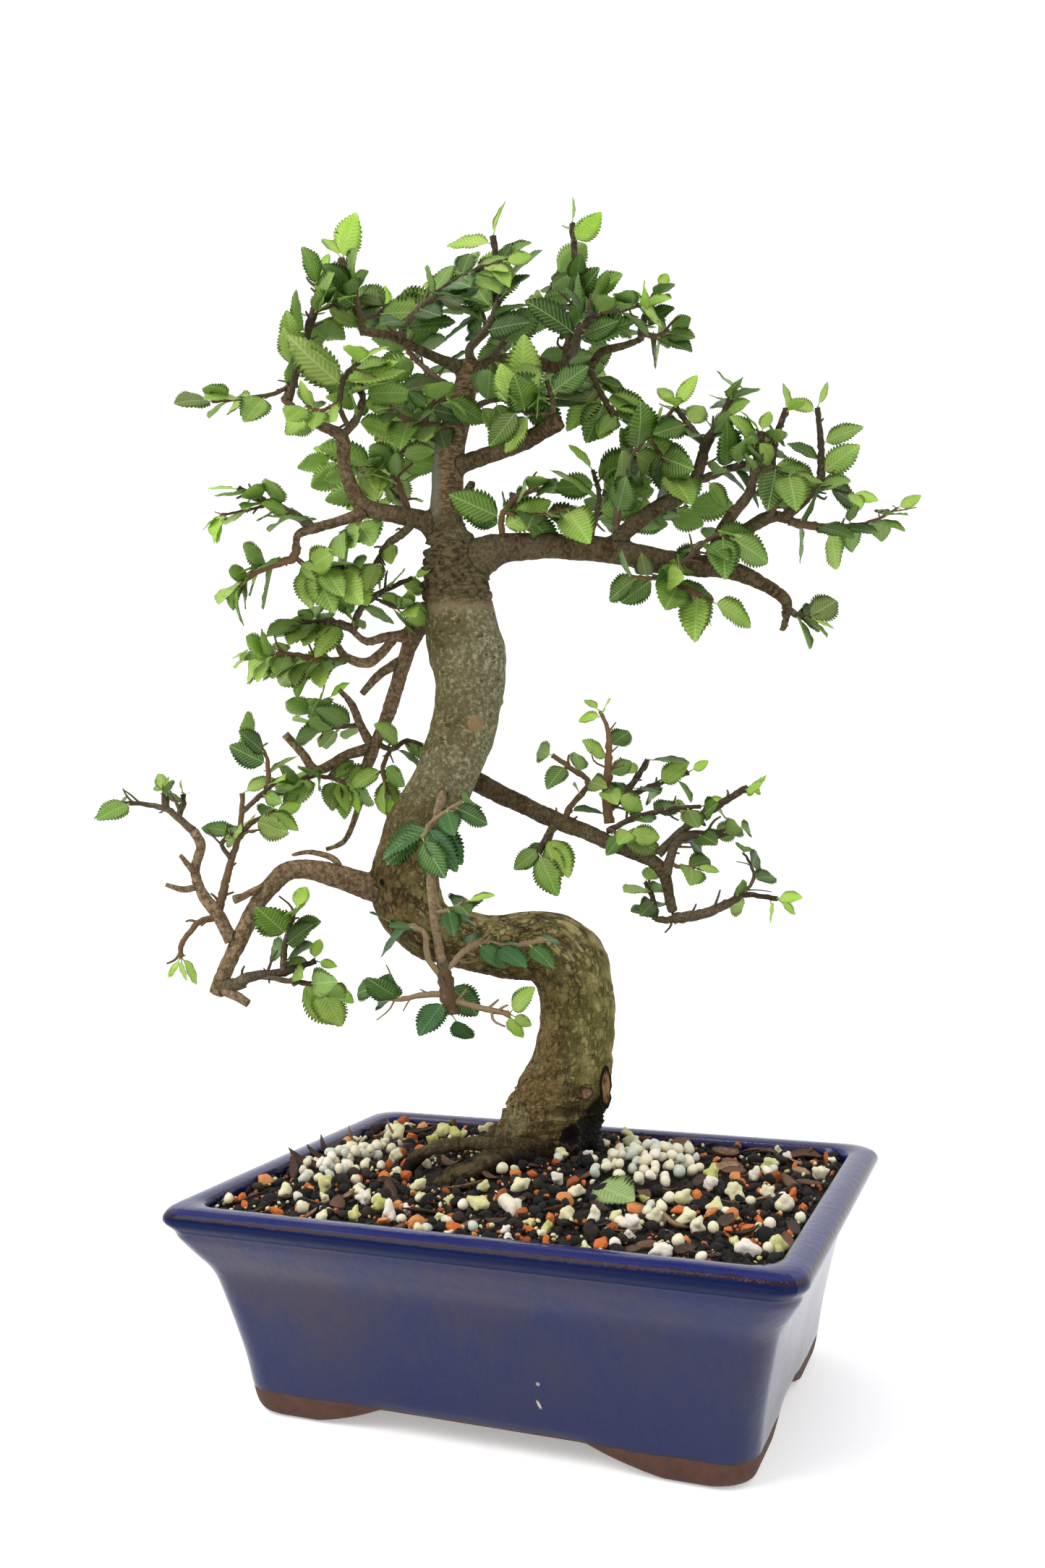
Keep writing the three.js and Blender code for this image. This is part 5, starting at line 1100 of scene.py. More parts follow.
def bark():
    """Smooth, scaly and slim wood by marks on the mesh, then the places that have a look of their own."""
    look = Look("elm_bark", Roughness=0.8, Specular_IOR_Level=0.09)
    x, y, z = look.axes()
    straight = look.mark("straight", "Vector")
    rough, collar, scar, girth, trunk, peeled = (
        look.mark(name) for name in ("rough", "collar", "scar", "girth", "trunk", "pale"))
    # Painted light: one side of the wood, across its run, is painted lighter as if lit
    painted_light_side = look.rise(look.axes(straight)[1] / girth, 0.2, -0.75)
    blotch = look.grain(0.075, 4, 0.6)
    patch = look.grain(0.05, 3, 0.5, look.vector("ADD", look.spot, (40, 9, 7)))
    streak = look.grain(0.11, 4, 0.6, look.vector("MULTIPLY", straight, (1, 1, 0.3)))
    fine = look.grain(0.9, 5, 0.65)
    sand = look.grain(0.55, 4, 0.8, look.vector("ADD", look.spot, (3, 17, 5)))
    drift, speckle = blotch - 0.5, fine - 0.5
    crosswise = look.vector("MULTIPLY", straight, (0.45, 0.45, 1.4))
    ridges = look.grain(0.75, 3, 0.6, crosswise)
    pores = look.node("TexVoronoi", {"Vector": crosswise, "Scale": 0.36})
    pores = look.rise(pores + look.grain(0.12) * 0.25, 0.25, 0.34, 1, 0)
    smooth = look.layered(
        (0.082, 0.064, 0.022),
        (look.rise(blotch, 0.36, 0.62), (0.150, 0.132, 0.062)),
        (look.rise(patch, 0.45, 0.64) * 0.5, (0.195, 0.190, 0.110)),
        (painted_light_side * 0.6, (0.255, 0.250, 0.145)),
        (look.rise(streak, 0.52, 0.68) * 0.6, (0.105, 0.072, 0.030)),
        (look.rise(sand, 0.42, 0.58) * 0.66, (0.062, 0.047, 0.018)),
        (look.rise(sand, 0.47, 0.32) * (0.45 + painted_light_side * 0.35), (0.42, 0.400, 0.27)),
        (pores * 0.75, (0.045, 0.026, 0.012)))

    # Scaly bark: flakes by a cell pattern that a noise strays, cracks, folds at the foot, algae and lichen,
    # with painted light and shade
    stray = look.node("TexNoise", {"Vector": straight, "Scale": 0.30, "Detail": 3.0}, output=1)
    stray = look.vector(
        "ADD", look.vector("MULTIPLY", straight, (1, 1, 0.7)), look.vector("SCALE", stray, Scale=3.4))
    cells = {"Vector": stray, "Scale": 0.36}
    flake_tone, _, flake_chance = look.axes(look.node("TexVoronoi", cells, output=1))
    flake_edge = look.node("TexVoronoi", cells, feature="DISTANCE_TO_EDGE")
    flake_edge = look.rise(flake_edge + speckle * 0.30, 0.03, 0.17)
    cracked = look.rise(look.grain(0.13, 2, 0.5, look.vector("ADD", look.spot, (2, 5, 31))), 0.36, 0.54)
    crack = look.rise(abs(look.grain(0.26, 3, 0.5, stray) - 0.5), 0.010, 0.050).most(1 - cracked)
    # Painted light on that side of the low bend above the foot, which also shows more pale flakes there
    painted_light_bend = painted_light_side * look.rise(z, 92, 108)
    flaked = look.rise(flake_chance + (patch - 0.5) * 1.2 + painted_light_bend * 0.3, 0.68, 0.92)
    rusty = look.rise(flake_tone + (streak - 0.5) * 1.4, 0.74, 0.9) * look.rise(x, 6, -14)
    swept = look.node("CombineXYZ", {0: x * 0.25, 1: y * 0.25, 2: z * 1.9 + x * x * 0.022})
    folds = look.grain(0.26, 4, 0.6, swept)
    low_down = look.rise(z + drift * 14, 101, 94)
    lit_edge = look.band(flake_edge, 0.45, 0.85, 0.1) * look.rise(flake_chance, 0.3, 0.6)
    algae = look.rise(blotch + (x + 6) * 0.010, 0.45, 0.8) * look.band(z, 90, 150, 9)
    lichen = look.rise(patch + speckle * 0.5, 0.48, 0.62) * look.rise(z, 116, 106) * look.rise(x, -6, -14)
    rust = look.rise(folds + drift * 0.4, 0.47, 0.57) * look.rise(z, 92, 83) * look.rise(x, 4, -6)
    lit_side = look.rise(x, 4, -12) * look.band(z, 86, 132, 10)
    scaly = look.layered(
        (0.208, 0.152, 0.055),
        (look.rise(sand * 0.8 + flake_tone * 0.2, 0.34, 0.62), (0.098, 0.067, 0.021)),
        (look.rise(blotch, 0.58, 0.44) * 0.4, (0.095, 0.070, 0.022)),
        (painted_light_bend * 0.7, (0.290, 0.240, 0.092)),
        (flaked * (0.16 + painted_light_bend * 0.5), (0.440, 0.380, 0.180)),
        (look.rise(sand, 0.44, 0.30) * (0.25 + painted_light_bend * 0.3), (0.380, 0.310, 0.135)),
        (rusty * 0.3, (0.125, 0.064, 0.027)),
        # Painted highlight on the ridges of the folds at the foot, and painted shade in their creases
        (look.rise(folds, 0.52, 0.58) * low_down * 0.75, (0.310, 0.270, 0.130)),
        (look.rise(folds, 0.47, 0.41) * low_down * 0.85, (0.038, 0.024, 0.012)),
        ((1 - flake_edge) * cracked * 0.75, (0.040, 0.028, 0.012)),
        ((1 - crack) * 0.7, (0.032, 0.022, 0.010)),
        (lit_edge * 0.35, (0.300, 0.245, 0.100)),
        (algae * 0.45, (0.170, 0.180, 0.038)),
        (lichen * 0.5, (0.350, 0.345, 0.190)),
        (rust * 0.8, (0.085, 0.036, 0.020)),
        (lit_side * look.rise(sand, 0.6, 0.35) * 0.7, (0.370, 0.250, 0.092)))

    # The slim limbs' brown, the thin leader's, and the wrinkled collar where it leaves the trunk
    at_left = look.rise(x, -48, -72) * look.rise(z, 330, 290, 0.55, 1)
    brown = look.layered(
        (0.040, 0.025, 0.012),
        (look.rise(ridges, 0.38, 0.62), (0.115, 0.080, 0.040)),
        (look.rise(blotch, 0.42, 0.6) * 0.6,
         look.mix(look.rise(fine, 0.4, 0.6), (0.070, 0.054, 0.028), (0.150, 0.124, 0.072))),
        (at_left * 0.8, look.mix(look.rise(sand, 0.36, 0.62), (0.350, 0.250, 0.150), (0.105, 0.064, 0.032))),
        (look.rise(sand, 0.46, 0.30) * 0.35, (0.240, 0.185, 0.110)))
    slim = look.rise(girth, 8.2, 10.5, 1, 0)
    leader = look.rise(z + drift * 12, 318, 330) * trunk
    silvery = look.rise(x + speckle * 3, -43, -47) * look.band(z, 318, 352, 6)
    leader_colour = look.layered(
        (0.085, 0.055, 0.027),
        (look.rise(ridges, 0.4, 0.62), (0.245, 0.168, 0.092)),
        (silvery * 0.85, look.mix(sand, (0.15, 0.155, 0.115), (0.26, 0.26, 0.20))))
    ringed = look.mix(look.rise(ridges, 0.36, 0.6), (0.024, 0.016, 0.008), (0.130, 0.096, 0.046))
    lip = look.band(z + drift * 8, 284.5, 287.5, 1.2) * trunk * look.rise(z, 320, 300)

    # Scars, the peeled hanging limb, wet wood by the soil, painted shade on the right foot and the roots'
    # undersides, a cut knot and a hole
    cork = look.mix(fine, (0.14, 0.086, 0.036), (0.32, 0.215, 0.110))
    pinkish = look.mix(look.rise(sand, 0.36, 0.62), (0.330, 0.240, 0.150), (0.190, 0.130, 0.075))
    # Wet wood by the soil; it reaches higher on the right side, and that rise is painted shade
    wet_and_shade = look.rise(z + drift * 14 - (x - 2).most(0) * 0.8, 75, 83, 1, 0)
    upward = look.axes(look.node("NewGeometry", output=1))[2]
    # Moss patches on the wet wood, kept to upward faces, so the roots are olive on top and near black
    # beneath as painted light from above
    moss_and_top_light = look.rise(blotch + fine * 0.4, 0.63, 0.85) * look.rise(upward, 0.35, 0.85, 0.1, 1)
    wet = look.mix(moss_and_top_light, (0.007, 0.005, 0.004), (0.110, 0.084, 0.026))
    # Painted shade: a near-black strip up the trunk's right foot
    painted_foot_shade = look.rise(x - z * 0.6 + speckle * 5, -48.8, -47) * look.rise(z + speckle * 8, 97, 94)
    wobble = (look.grain(0.4, 4, 0.7) - 0.5) * 5
    knot, hole = (
        look.node("VectorMath", {0: look.spot, 1: tuple(grown(*place))}, output=1, operation="DISTANCE")
        + wobble * wide for place, wide in ((KNOT, 0.6), (HOLLOW, 1.0)))
    colour = look.layered(
        smooth,
        (rough, scaly),
        (slim * (1 - trunk), brown),
        (leader, leader_colour),
        (collar * 0.92, ringed),
        (lip * 0.5, (0.24, 0.185, 0.105)),
        (look.rise(scar, 0.15, 0.7) * 0.8, cork),
        (look.rise(scar, -0.1, -0.6), (0.010, 0.008, 0.006)),
        (peeled * 0.9, pinkish),
        (wet_and_shade * 0.93, wet),
        (painted_foot_shade * 0.9, (0.009, 0.008, 0.007)),
        (look.rise(knot, 3.3, 2.9), look.mix(fine, (0.16, 0.09, 0.05), (0.42, 0.27, 0.17))),
        (look.band(knot, 3.0, 3.8, 0.2) * 0.85, (0.036, 0.022, 0.013)),
        (look.band(hole, 4.2, 4.9, 0.5) * 0.35, (0.190, 0.125, 0.062)),
        (look.rise(hole, 4.4, 4.0), (0.008, 0.006, 0.005)))
    height = (
        (flake_edge * 0.5 + crack * 0.5) * rough + folds * low_down * 1.4 + fine * 0.4 + sand * 0.35
        + pores * (1 - rough) * 0.3 + ridges * (0.2 + collar * 1.1 + slim * 0.4))
    look.bump(height, 1.1, 0.9)
    return look.paint(Base_Color=colour, Roughness=0.62 + fine * 0.3 - wet_and_shade * 0.25)


def grow_tree():
    skeleton = wood_skeleton()
    points, normals, faces = fused_wood()
    skinned, marks = weathered(points, normals, skeleton, nearest_wood(points, skeleton), faces)
    parts, every = [(skinned, faces)], [marks]
    for rows in LIMBS.values():
        if thickest(rows) > FUSED_OVER:
            continue
        made, made_faces = tube(*limb_course(rows, 1.1), 12)
        found = nearest_wood(made, skeleton)
        outward = made - skeleton[found, :3]
        outward /= np.linalg.norm(outward, axis=1)[:, None]
        made, marks = weathered(made, outward, skeleton, found, made_faces)
        parts.append((made, made_faces))
        every.append(marks)
    points, faces = gathered(parts)
    marks = {name: np.concatenate([found[name] for found in every]) for name in every[0]}
    make_piece("elm_wood", points, faces, [bark()], ["tree"], marks)


def loose_plate():
    """A plate of dead bark that stands off the trunk's right foot, red-brown with a dark edge."""
    look = Look("dead_bark", Roughness=0.85, Specular_IOR_Level=0.1)
    run = look.grain(0.9, 3, 0.6, look.vector("MULTIPLY", look.spot, (1, 1, 0.25)))
    edge = look.rise(look.mark("edge") + (run - 0.5) * 0.5, 0.55, 0.85)
    look.bump(run, 0.4)
    look.paint(Base_Color=look.layered(
        (0.070, 0.036, 0.019), (look.rise(run, 0.4, 0.6), (0.330, 0.185, 0.092)),
        (edge, (0.012, 0.008, 0.006))))
    points, faces = ball(3)
    torn = 1 + 0.10 * np.sin(points[:, 2] * 7) + 0.08 * np.sin(points[:, 2] * 13 + 2)
    across, up = points[:, 0] * 2.9 * torn, points[:, 2] * 8.4
    away = points[:, 1] * 0.55 + 0.8 + 0.07 * across ** 2 + 0.01 * up ** 2
    outward, sideways = np.array([0.62, -0.785]), np.array([0.785, 0.62])
    flat = np.array([20.4, -8.8]) + away[:, None] * outward + across[:, None] * sideways
    placed = np.array([grown(x, y, z) for (x, y), z in zip(flat, 99.5 + up)])
    make_piece(
        "loose_bark_plate", placed, faces.tolist(), [look.material],
        marks={"edge": np.hypot(points[:, 0], points[:, 2])})


grow_tree()
loose_plate()

# Sprays
# Forty-eight leafy sprays grow from the limbs, each a few twigs, some cut back, with alternate leaves on
# short stalks and soft lime-coloured ones at the growing tips. Each row is one twig: its route, thickness at
# both ends, count of leaves and their length, where they start, how many are young, and how much they droop.
SPRAYS = {
    "low_left_tip": [
        ([(-135, -16, 201), (-142, -15, 207), (-147, -14, 210), (-157, -13, 212), (-166, -12, 212)],
         (3, 1.1), 3, 11, 0.75, 0, 0.2),
        ([(-146, -14, 210), (-146, -14, 216)], (2.8, 2.2), 5, 9, 0.5, 4, -0.2),
        ([(-141, -15, 207), (-139, -15, 211), (-139, -15, 215)], (2.5, 1.4), 3, 8, 0.4, 2, 0.1),
    ],
    "low_left_curl": [
        ([(-125, -20, 168), (-131, -22, 167), (-135, -24, 163), (-138, -25, 158), (-138, -25, 154)],
         (2.5, 1.6), 4, 11, 0.9, 4, 0.9),
    ],
    "low_left_rise": [
        ([(-125, -19, 171), (-123, -17, 180), (-121, -15, 189), (-118, -13, 200), (-117, -12, 215)],
         (3.3, 1.7), 2, 12, 0.6, 0, 0.1),
        ([(-121, -15, 190), (-124, -17, 196), (-119, -18, 200)], (1.9, 1.1), 4, 12, 0.5, 0, 0.2),
        ([(-118, -13, 198), (-113, -11, 204), (-105, -9, 208)], (2.2, 1.1), 5, 14, 0.3, 1, 0.2),
        ([(-117, -12, 208), (-111, -13, 213), (-104, -14, 219)], (2, 1.4), 4, 12, 0.4, 0, 0.2),
        ([(-107, -13, 217), (-107, -12, 227), (-110, -11, 233), (-115, -10, 236)],
         (1.7, 0.8), 6, 13, 0.1, 0, 0),
    ],
    "low_left_in": [
        ([(-125, -21, 142), (-118, -23, 143), (-112, -25, 146), (-99, -28, 148), (-87, -29, 152)],
         (5.5, 1.6), 4, 12, 0.7, 2, 0.2),
        ([(-111, -25, 147), (-98, -30, 145), (-88, -33, 144), (-80, -34, 143)],
         (2.4, 1.1), 5, 16, 0.5, 1, 0.8),
        ([(-99, -28, 148), (-99, -27, 156), (-97, -26, 164), (-95, -25, 171)],
         (2.4, 1.4), 7, 15, 0.1, 1, 0.2),
    ],
    "mid_left_fore": [
        ([(-75, 1, 278), (-72, 0, 287), (-63, -1, 294), (-51, -2, 299)], (2.6, 1.4), 8, 12, 0.1, 1, 0.2),
        ([(-65, -1, 291), (-57, -4, 287), (-49, -6, 288)], (1.1, 0.8), 5, 13, 0.3, 0, 0.4),
        ([(-75, 1, 280), (-82, 2, 282), (-89, 3, 283), (-99, 4, 283)], (3.4, 1.4), 10, 15, 0.2, 0, 0.5),
    ],
    "mid_left_dark": [
        ([(-77, 3, 268), (-86, -2, 267), (-98, -6, 269), (-106, -8, 269)], (2.6, 1.4), 12, 17, 0.1, 0, 0.5),
        ([(-105, -8, 269), (-114, -9, 270)], (0.8, 0.8), 4, 12, 0.5, 3, 0.4),
    ],
    "mid_left_middle": [
        ([(-75, 28, 243), (-85, 30, 243), (-95, 31, 241)], (1.8, 1.2), 6, 15, 0.2, 1, 0.2),
        ([(-94, 31, 241), (-96, 30, 249), (-89, 30, 255)], (1.2, 0.9), 5, 16, 0.2, 1, 0.1),
    ],
    "mid_left_low": [
        ([(-93, 29, 225), (-97, 25, 222), (-103, 22, 220)], (3, 1.2), 6, 15, 0.2, 0, 0.6),
        ([(-96, 26, 223), (-86, 24, 221), (-80, 23, 218)], (1.5, 1.2), 6, 14, 0.2, 1, 0.7),
    ],
    "mid_left_side": [
        ([(-68, 29, 235), (-62, 22, 233), (-56, 18, 236), (-49, 16, 234)], (2.4, 1.2), 5, 12, 0.3, 2, 0.3),
        ([(-63, 23, 233), (-66, 20, 224), (-63, 18, 214)], (1.8, 1.2), 6, 13, 0.3, 1, 0.5),
    ],
    "upper_left_leader": [
        ([(-97, -14, 367), (-94, -14, 378), (-90, -13, 391), (-86, -12, 404), (-84, -12, 415)],
         (3.6, 2.3), 12, 15, 0.1, 1, 0),
        ([(-95, -14, 373), (-103, -17, 368), (-115, -19, 366), (-125, -20, 365)],
         (1.7, 1.1), 5, 15, 0.3, 0, 0.2),
        ([(-86, -12, 402), (-81, -14, 403), (-77, -16, 404)], (1.4, 1.1), 4, 15, 0.3, 1, 0.3),
    ],
    "upper_left_out": [
        ([(-87, -13, 317), (-97, -15, 323), (-106, -16, 327), (-116, -17, 332)],
         (3.1, 2.2), 10, 17, 0.1, 1, 0.2),
        ([(-104, -16, 326), (-113, -19, 323), (-122, -21, 321)], (1.1, 0.8), 5, 14, 0.4, 4, 0.6),
    ],
    "upper_left_drop": [
        ([(-94, -15, 310), (-96, -15, 305), (-103, -16, 303), (-111, -17, 299), (-117, -17, 294)],
         (3.3, 1.9), 8, 16, 0.4, 0, 0.4),
        ([(-95, -15, 306), (-90, -13, 302), (-82, -12, 302), (-74, -11, 301)],
         (1.7, 1.4), 10, 17, 0.1, 0, 0.9),
    ],
    "upper_left_hang": [
        ([(-69, -8, 323), (-73, -14, 317), (-77, -18, 314)], (1.7, 1.1), 5, 19, 0.2, 0, 0.9),
    ],
    "upper_left_inner": [
        ([(-51, -2, 323), (-56, 2, 337), (-58, 6, 345), (-55, 9, 352), (-49, 12, 357)],
         (2.6, 1.5), 8, 15, 0.2, 0, 0.3),
        ([(-58, 5, 344), (-64, 3, 345), (-68, 0, 343)], (1.4, 1.1), 5, 16, 0.2, 0, 0.3),
        ([(-53, 1, 329), (-61, 22, 339), (-75, 36, 352), (-91, 46, 361)], (2.6, 1.6), 12, 16, 0.2, 1, 0.3),
        ([(-63, 25, 342), (-56, 40, 362), (-44, 50, 383)], (1.8, 1.3), 10, 16, 0.2, 0, 0.3),
    ],
    "upper_left_grey": [
        ([(-49, -2, 323), (-54, -6, 316), (-60, -9, 311), (-64, -10, 304), (-69, -10, 300)],
         (3.7, 1.4), 5, 12, 0.4, 1, 0.6),
    ],
    "left_shoulder": [
        ([(-76, -11, 354), (-70, -14, 360), (-68, -16, 367), (-69, -17, 372)],
         (3.1, 1.4), 6, 15, 0.2, 0, 0.2),
        ([(-74, -12, 357), (-76, -22, 362), (-73, -28, 371), (-67, -32, 375)],
         (2, 1.4), 7, 19, 0.4, 2, 0.1),
        ([(-76, -23, 363), (-82, -26, 359), (-88, -28, 360)], (1.4, 0.8), 5, 15, 0.2, 0, 0.6),
    ],
    "crown_left_up": [
        ([(-68, -8, 394), (-70, -9, 404), (-72, -10, 413), (-76, -11, 423)],
         (2.8, 2.3), 8, 17, 0.2, 2, 0.1),
        ([(-69, -9, 400), (-63, -2, 404), (-58, 4, 411)], (2, 1.4), 6, 17, 0.3, 0, 0.3),
    ],
    "crown_front_long": [
        ([(-54, -5, 393), (-51, -14, 396), (-42, -20, 402), (-33, -24, 407), (-23, -27, 411),
          (-13, -29, 413)],
         (2.6, 1.6), 13, 18, 0.1, 2, 0.2),
    ],
    "crown_mid_up": [
        ([(-26, 3, 386), (-27, 7, 393), (-20, 10, 402), (-16, 11, 411), (-15, 11, 421), (-17, 11, 440)],
         (3.5, 2.1), 13, 18, 0.3, 2, 0.1),
        ([(-20, 10, 402), (-23, 20, 416), (-26, 26, 429)], (1.8, 1.2), 6, 17, 0.2, 0, 0.2),
    ],
    "crown_right_rise": [
        ([(11, 7, 385), (13, 5, 395), (15, 4, 406), (16, 3, 420), (15, 3, 441)],
         (3.2, 2), 13, 15, 0.15, 3, 0.1),
        ([(16, 4, 406), (21, 6, 410), (25, 8, 415)], (1.7, 1.5), 5, 14, 0.3, 0, 0.3),
        ([(13, 6, 389), (15, -8, 387), (16, -16, 391), (24, -19, 397), (31, -20, 401)],
         (2.9, 2.2), 9, 17, 0.3, 2, 0.1),
        ([(24, -19, 397), (33, -24, 396), (39, -26, 397)], (1.4, 1.1), 6, 15, 0.3, 4, 0.1),
    ],
    "crown_right_tip": [
        ([(42, 11, 396), (44, 10, 405), (49, 9, 416)], (2.9, 2.3), 7, 15, 0.2, 1, 0.2),
        ([(43, 11, 399), (49, 14, 399), (54, 16, 402)], (2.1, 1.5), 5, 16, 0.2, 0, 0.6),
    ],
    "crown_right_drop": [
        ([(21, 8, 384), (25, 2, 372), (31, -3, 361)], (2.9, 1.7), 9, 16, 0.1, 0, 0.3),
    ],
    "crown_stub_twig": [
        ([(5, -21, 354), (5, -22, 362), (3, -22, 370)], (2.5, 1.4), 6, 17, 0.3, 0, 0.3),
        ([(5, -21, 358), (-3, -27, 356), (-11, -30, 358)], (1.4, 1.1), 5, 17, 0.3, 0, 0.3),
    ],
    "leader_right": [
        ([(-28, 2, 366), (-21, -6, 367), (-12, -12, 367), (-5, -16, 368)], (2.3, 1.4), 7, 17, 0.2, 0, 0.3),
    ],
    "leader_left": [
        ([(-35, 0, 356), (-41, -5, 358), (-49, -10, 358), (-57, -14, 363)], (4.3, 1.7), 7, 16, 0.2, 0, 0.3),
        ([(-45, -8, 358), (-42, -10, 365), (-36, -12, 367)], (2.3, 1.4), 3, 15, 0.3, 0, 0.2),
    ],
    "right_far_tip": [
        ([(96, -11, 317), (107, -10, 315), (118, -9, 315), (127, -8, 316)], (3.4, 1.4), 6, 16, 0.1, 0, 0.6),
        ([(126, -8, 316), (134, -8, 319), (139, -8, 322)], (1.1, 0.8), 4, 13, 0.3, 2, 0.3),
    ],
    "right_far_up": [
        ([(94, -12, 318), (103, -10, 326), (109, -9, 333), (110, -8, 347), (109, -8, 362)],
         (4.2, 1.7), 8, 14, 0.2, 2, 0.1),
        ([(108, -9, 332), (114, -12, 329), (120, -13, 327)], (1.4, 0.8), 4, 14, 0.3, 3, 0.3),
    ],
    "right_fourth_up": [
        ([(86, -13, 317), (91, -15, 325), (89, -17, 338), (91, -17, 348), (95, -17, 359)],
         (3.1, 2.2), 9, 15, 0.15, 2, 0.2),
    ],
    "right_mid_up": [
        ([(81, -23, 331), (83, -24, 341), (84, -24, 348)], (3.6, 2.5), 7, 15, 0.1, 2, 0.1),
        ([(82, -23, 334), (88, -27, 334), (93, -29, 331)], (1.6, 1.1), 4, 15, 0.3, 0, 0.4),
    ],
    "right_upper_tip": [
        ([(59, -15, 331), (62, -16, 339), (64, -17, 346), (71, -18, 357), (75, -18, 367)],
         (4.7, 2.2), 7, 15, 0.4, 0, 0.1),
        ([(64, -17, 346), (59, -20, 350), (55, -21, 355), (52, -22, 359)], (2.2, 1.7), 6, 14, 0.2, 2, 0.1),
        ([(60, -15, 332), (67, -18, 334), (73, -20, 336), (78, -21, 337)], (2.8, 2.2), 7, 15, 0.1, 1, 0.2),
    ],
    "right_inner_rise": [
        ([(29, -11, 313), (30, -13, 324), (32, -15, 335), (36, -16, 343), (42, -17, 350), (52, -18, 360)],
         (2.5, 1.4), 12, 17, 0.1, 1, 0.2),
        ([(42, -17, 349), (46, -19, 342), (50, -20, 334)], (1.4, 1.1), 4, 16, 0.3, 0, 0.4),
    ],
    "right_inner_small": [
        ([(19, -9, 311), (23, -6, 328), (21, -4, 340)], (2, 1.4), 7, 17, 0.2, 1, 0.3),
    ],
    "right_near_collar": [
        ([(-15, -5, 314), (-15, -8, 322), (-9, -11, 328), (-1, -13, 331)], (2.3, 1.4), 8, 17, 0.1, 0, 0.2),
        ([(-14, -8, 323), (-2, -16, 320), (10, -20, 321)], (1.4, 1.1), 6, 17, 0.3, 0, 0.4),
    ],
    "right_under": [
        ([(46, -13, 299), (49, -18, 293), (55, -22, 289), (64, -25, 284)], (3.1, 2.2), 5, 17, 0.3, 0, 0.5),
        ([(48, -17, 294), (41, -22, 294), (33, -26, 294)], (1.4, 1.1), 5, 15, 0.1, 0, 0.3),
        ([(48, -18, 294), (53, -25, 299), (64, -28, 308), (70, -31, 307)], (1.9, 1.3), 7, 16, 0.1, 0, 0.4),
    ],
    "right_end": [
        ([(92, -19, 283), (97, -20, 279), (102, -20, 278)], (2.5, 1.1), 6, 15, 0.3, 1, 0.3),
    ],
    "lower_right_end": [
        ([(48, -13, 164), (60, -14, 166), (70, -14, 170), (76, -14, 173), (88, -15, 171)],
         (4.2, 1.4), 5, 10.6, 0.4, 3, 0.3),
        ([(75, -14, 173), (79, -15, 179), (78, -15, 184), (75, -16, 189)],
         (1.4, 0.8), 3, 11.4, 0.2, 0, 0.3),
        ([(49, -13, 164), (42, -10, 164), (41, -9, 171), (38, -8, 178)], (2.8, 1.4), 6, 12.3, 0.4, 0, 0.5),
    ],
    "lower_right_out": [
        ([(43, -11, 189), (53, -11, 198), (61, -12, 204), (71, -12, 210), (78, -13, 214)],
         (3.3, 2.2), 6, 12.3, 0.3, 3, 0.2),
    ],
    "lower_right_arch": [
        ([(46, -12, 181), (49, -14, 192), (55, -15, 196), (65, -16, 196), (73, -17, 199)],
         (3.6, 2.5), 5, 13.2, 0.4, 0, 0.3),
        ([(48, -13, 185), (51, -18, 184), (56, -21, 184)], (1.7, 1.1), 3, 12.3, 0.6, 1, 0.2),
    ],
    "lower_right_long": [
        ([(24, -2, 198), (35, -5, 203), (48, -8, 206), (60, -10, 207)], (2.3, 1.4), 7, 13.2, 0.2, 1, 0),
        ([(25, -3, 199), (28, -14, 197), (32, -20, 198)], (1.7, 1.1), 4, 13.2, 0.4, 0, 0.4),
    ],
    "lower_right_up": [
        ([(25, -2, 201), (24, -3, 212), (25, -4, 226), (25, -4, 237), (22, -4, 245)],
         (4, 1.1), 6, 11.4, 0.3, 3, 0.2),
        ([(24, -2, 206), (29, 1, 210), (35, 3, 217), (41, 4, 226)], (3.4, 1.7), 4, 12.3, 0.3, 0, 0.2),
        ([(29, 1, 210), (44, 8, 216), (58, 12, 221)], (2, 2), 4, 12.3, 0.3, 1, 0.2),
    ],
    "lower_right_inner": [
        ([(7, 2, 201), (10, 0, 208), (17, -2, 217), (10, -3, 223), (3, -4, 228)],
         (2.3, 1.7), 6, 12.3, 0.1, 0, 0.3),
        ([(16, -2, 217), (23, -6, 215), (28, -8, 212)], (1.1, 0.8), 3, 13.2, 0.2, 0, 0.3),
    ],
    "lower_right_hang": [
        ([(4, 3, 201), (0, -2, 195), (-3, -5, 190)], (3.2, 2), 5, 13.2, 0.3, 0, 0.8),
    ],
    "front_top": [
        ([(-42, -25, 202), (-44, -32, 201), (-46, -35, 197)], (2.2, 1.3), 5, 15, 0.1, 0, 0.5),
        ([(-44, -31, 202), (-37, -34, 207), (-31, -35, 210)], (1.3, 1.1), 4, 15, 0.2, 0, 0.4),
    ],
    "front_middle": [
        ([(-41, -40, 170), (-36, -42, 171), (-30, -42, 174)], (1.6, 1), 6, 14, 0.3, 1, 0.4),
    ],
    "front_knot": [
        ([(-39, -44, 152), (-38, -45, 147), (-37, -46, 141), (-36, -46, 134)],
         (4.6, 5.2), 3, 14, 0.3, 0, 0.5),
        ([(-38, -45, 149), (-31, -43, 156), (-25, -41, 159), (-15, -39, 157), (-2, -37, 159)],
         (2.3, 1.6), 7, 13, 0.3, 0, 0.4),
        ([(-39, -45, 147), (-44, -46, 154), (-45, -46, 163), (-49, -46, 165), (-55, -46, 166)],
         (2.3, 1.3), 3, 14, 0.7, 0, 0.1),
        ([(-38, -46, 141), (-46, -47, 141), (-52, -48, 140), (-57, -48, 140), (-62, -48, 144)],
         (2.3, 1), 4, 14, 0.5, 0, 0.2),
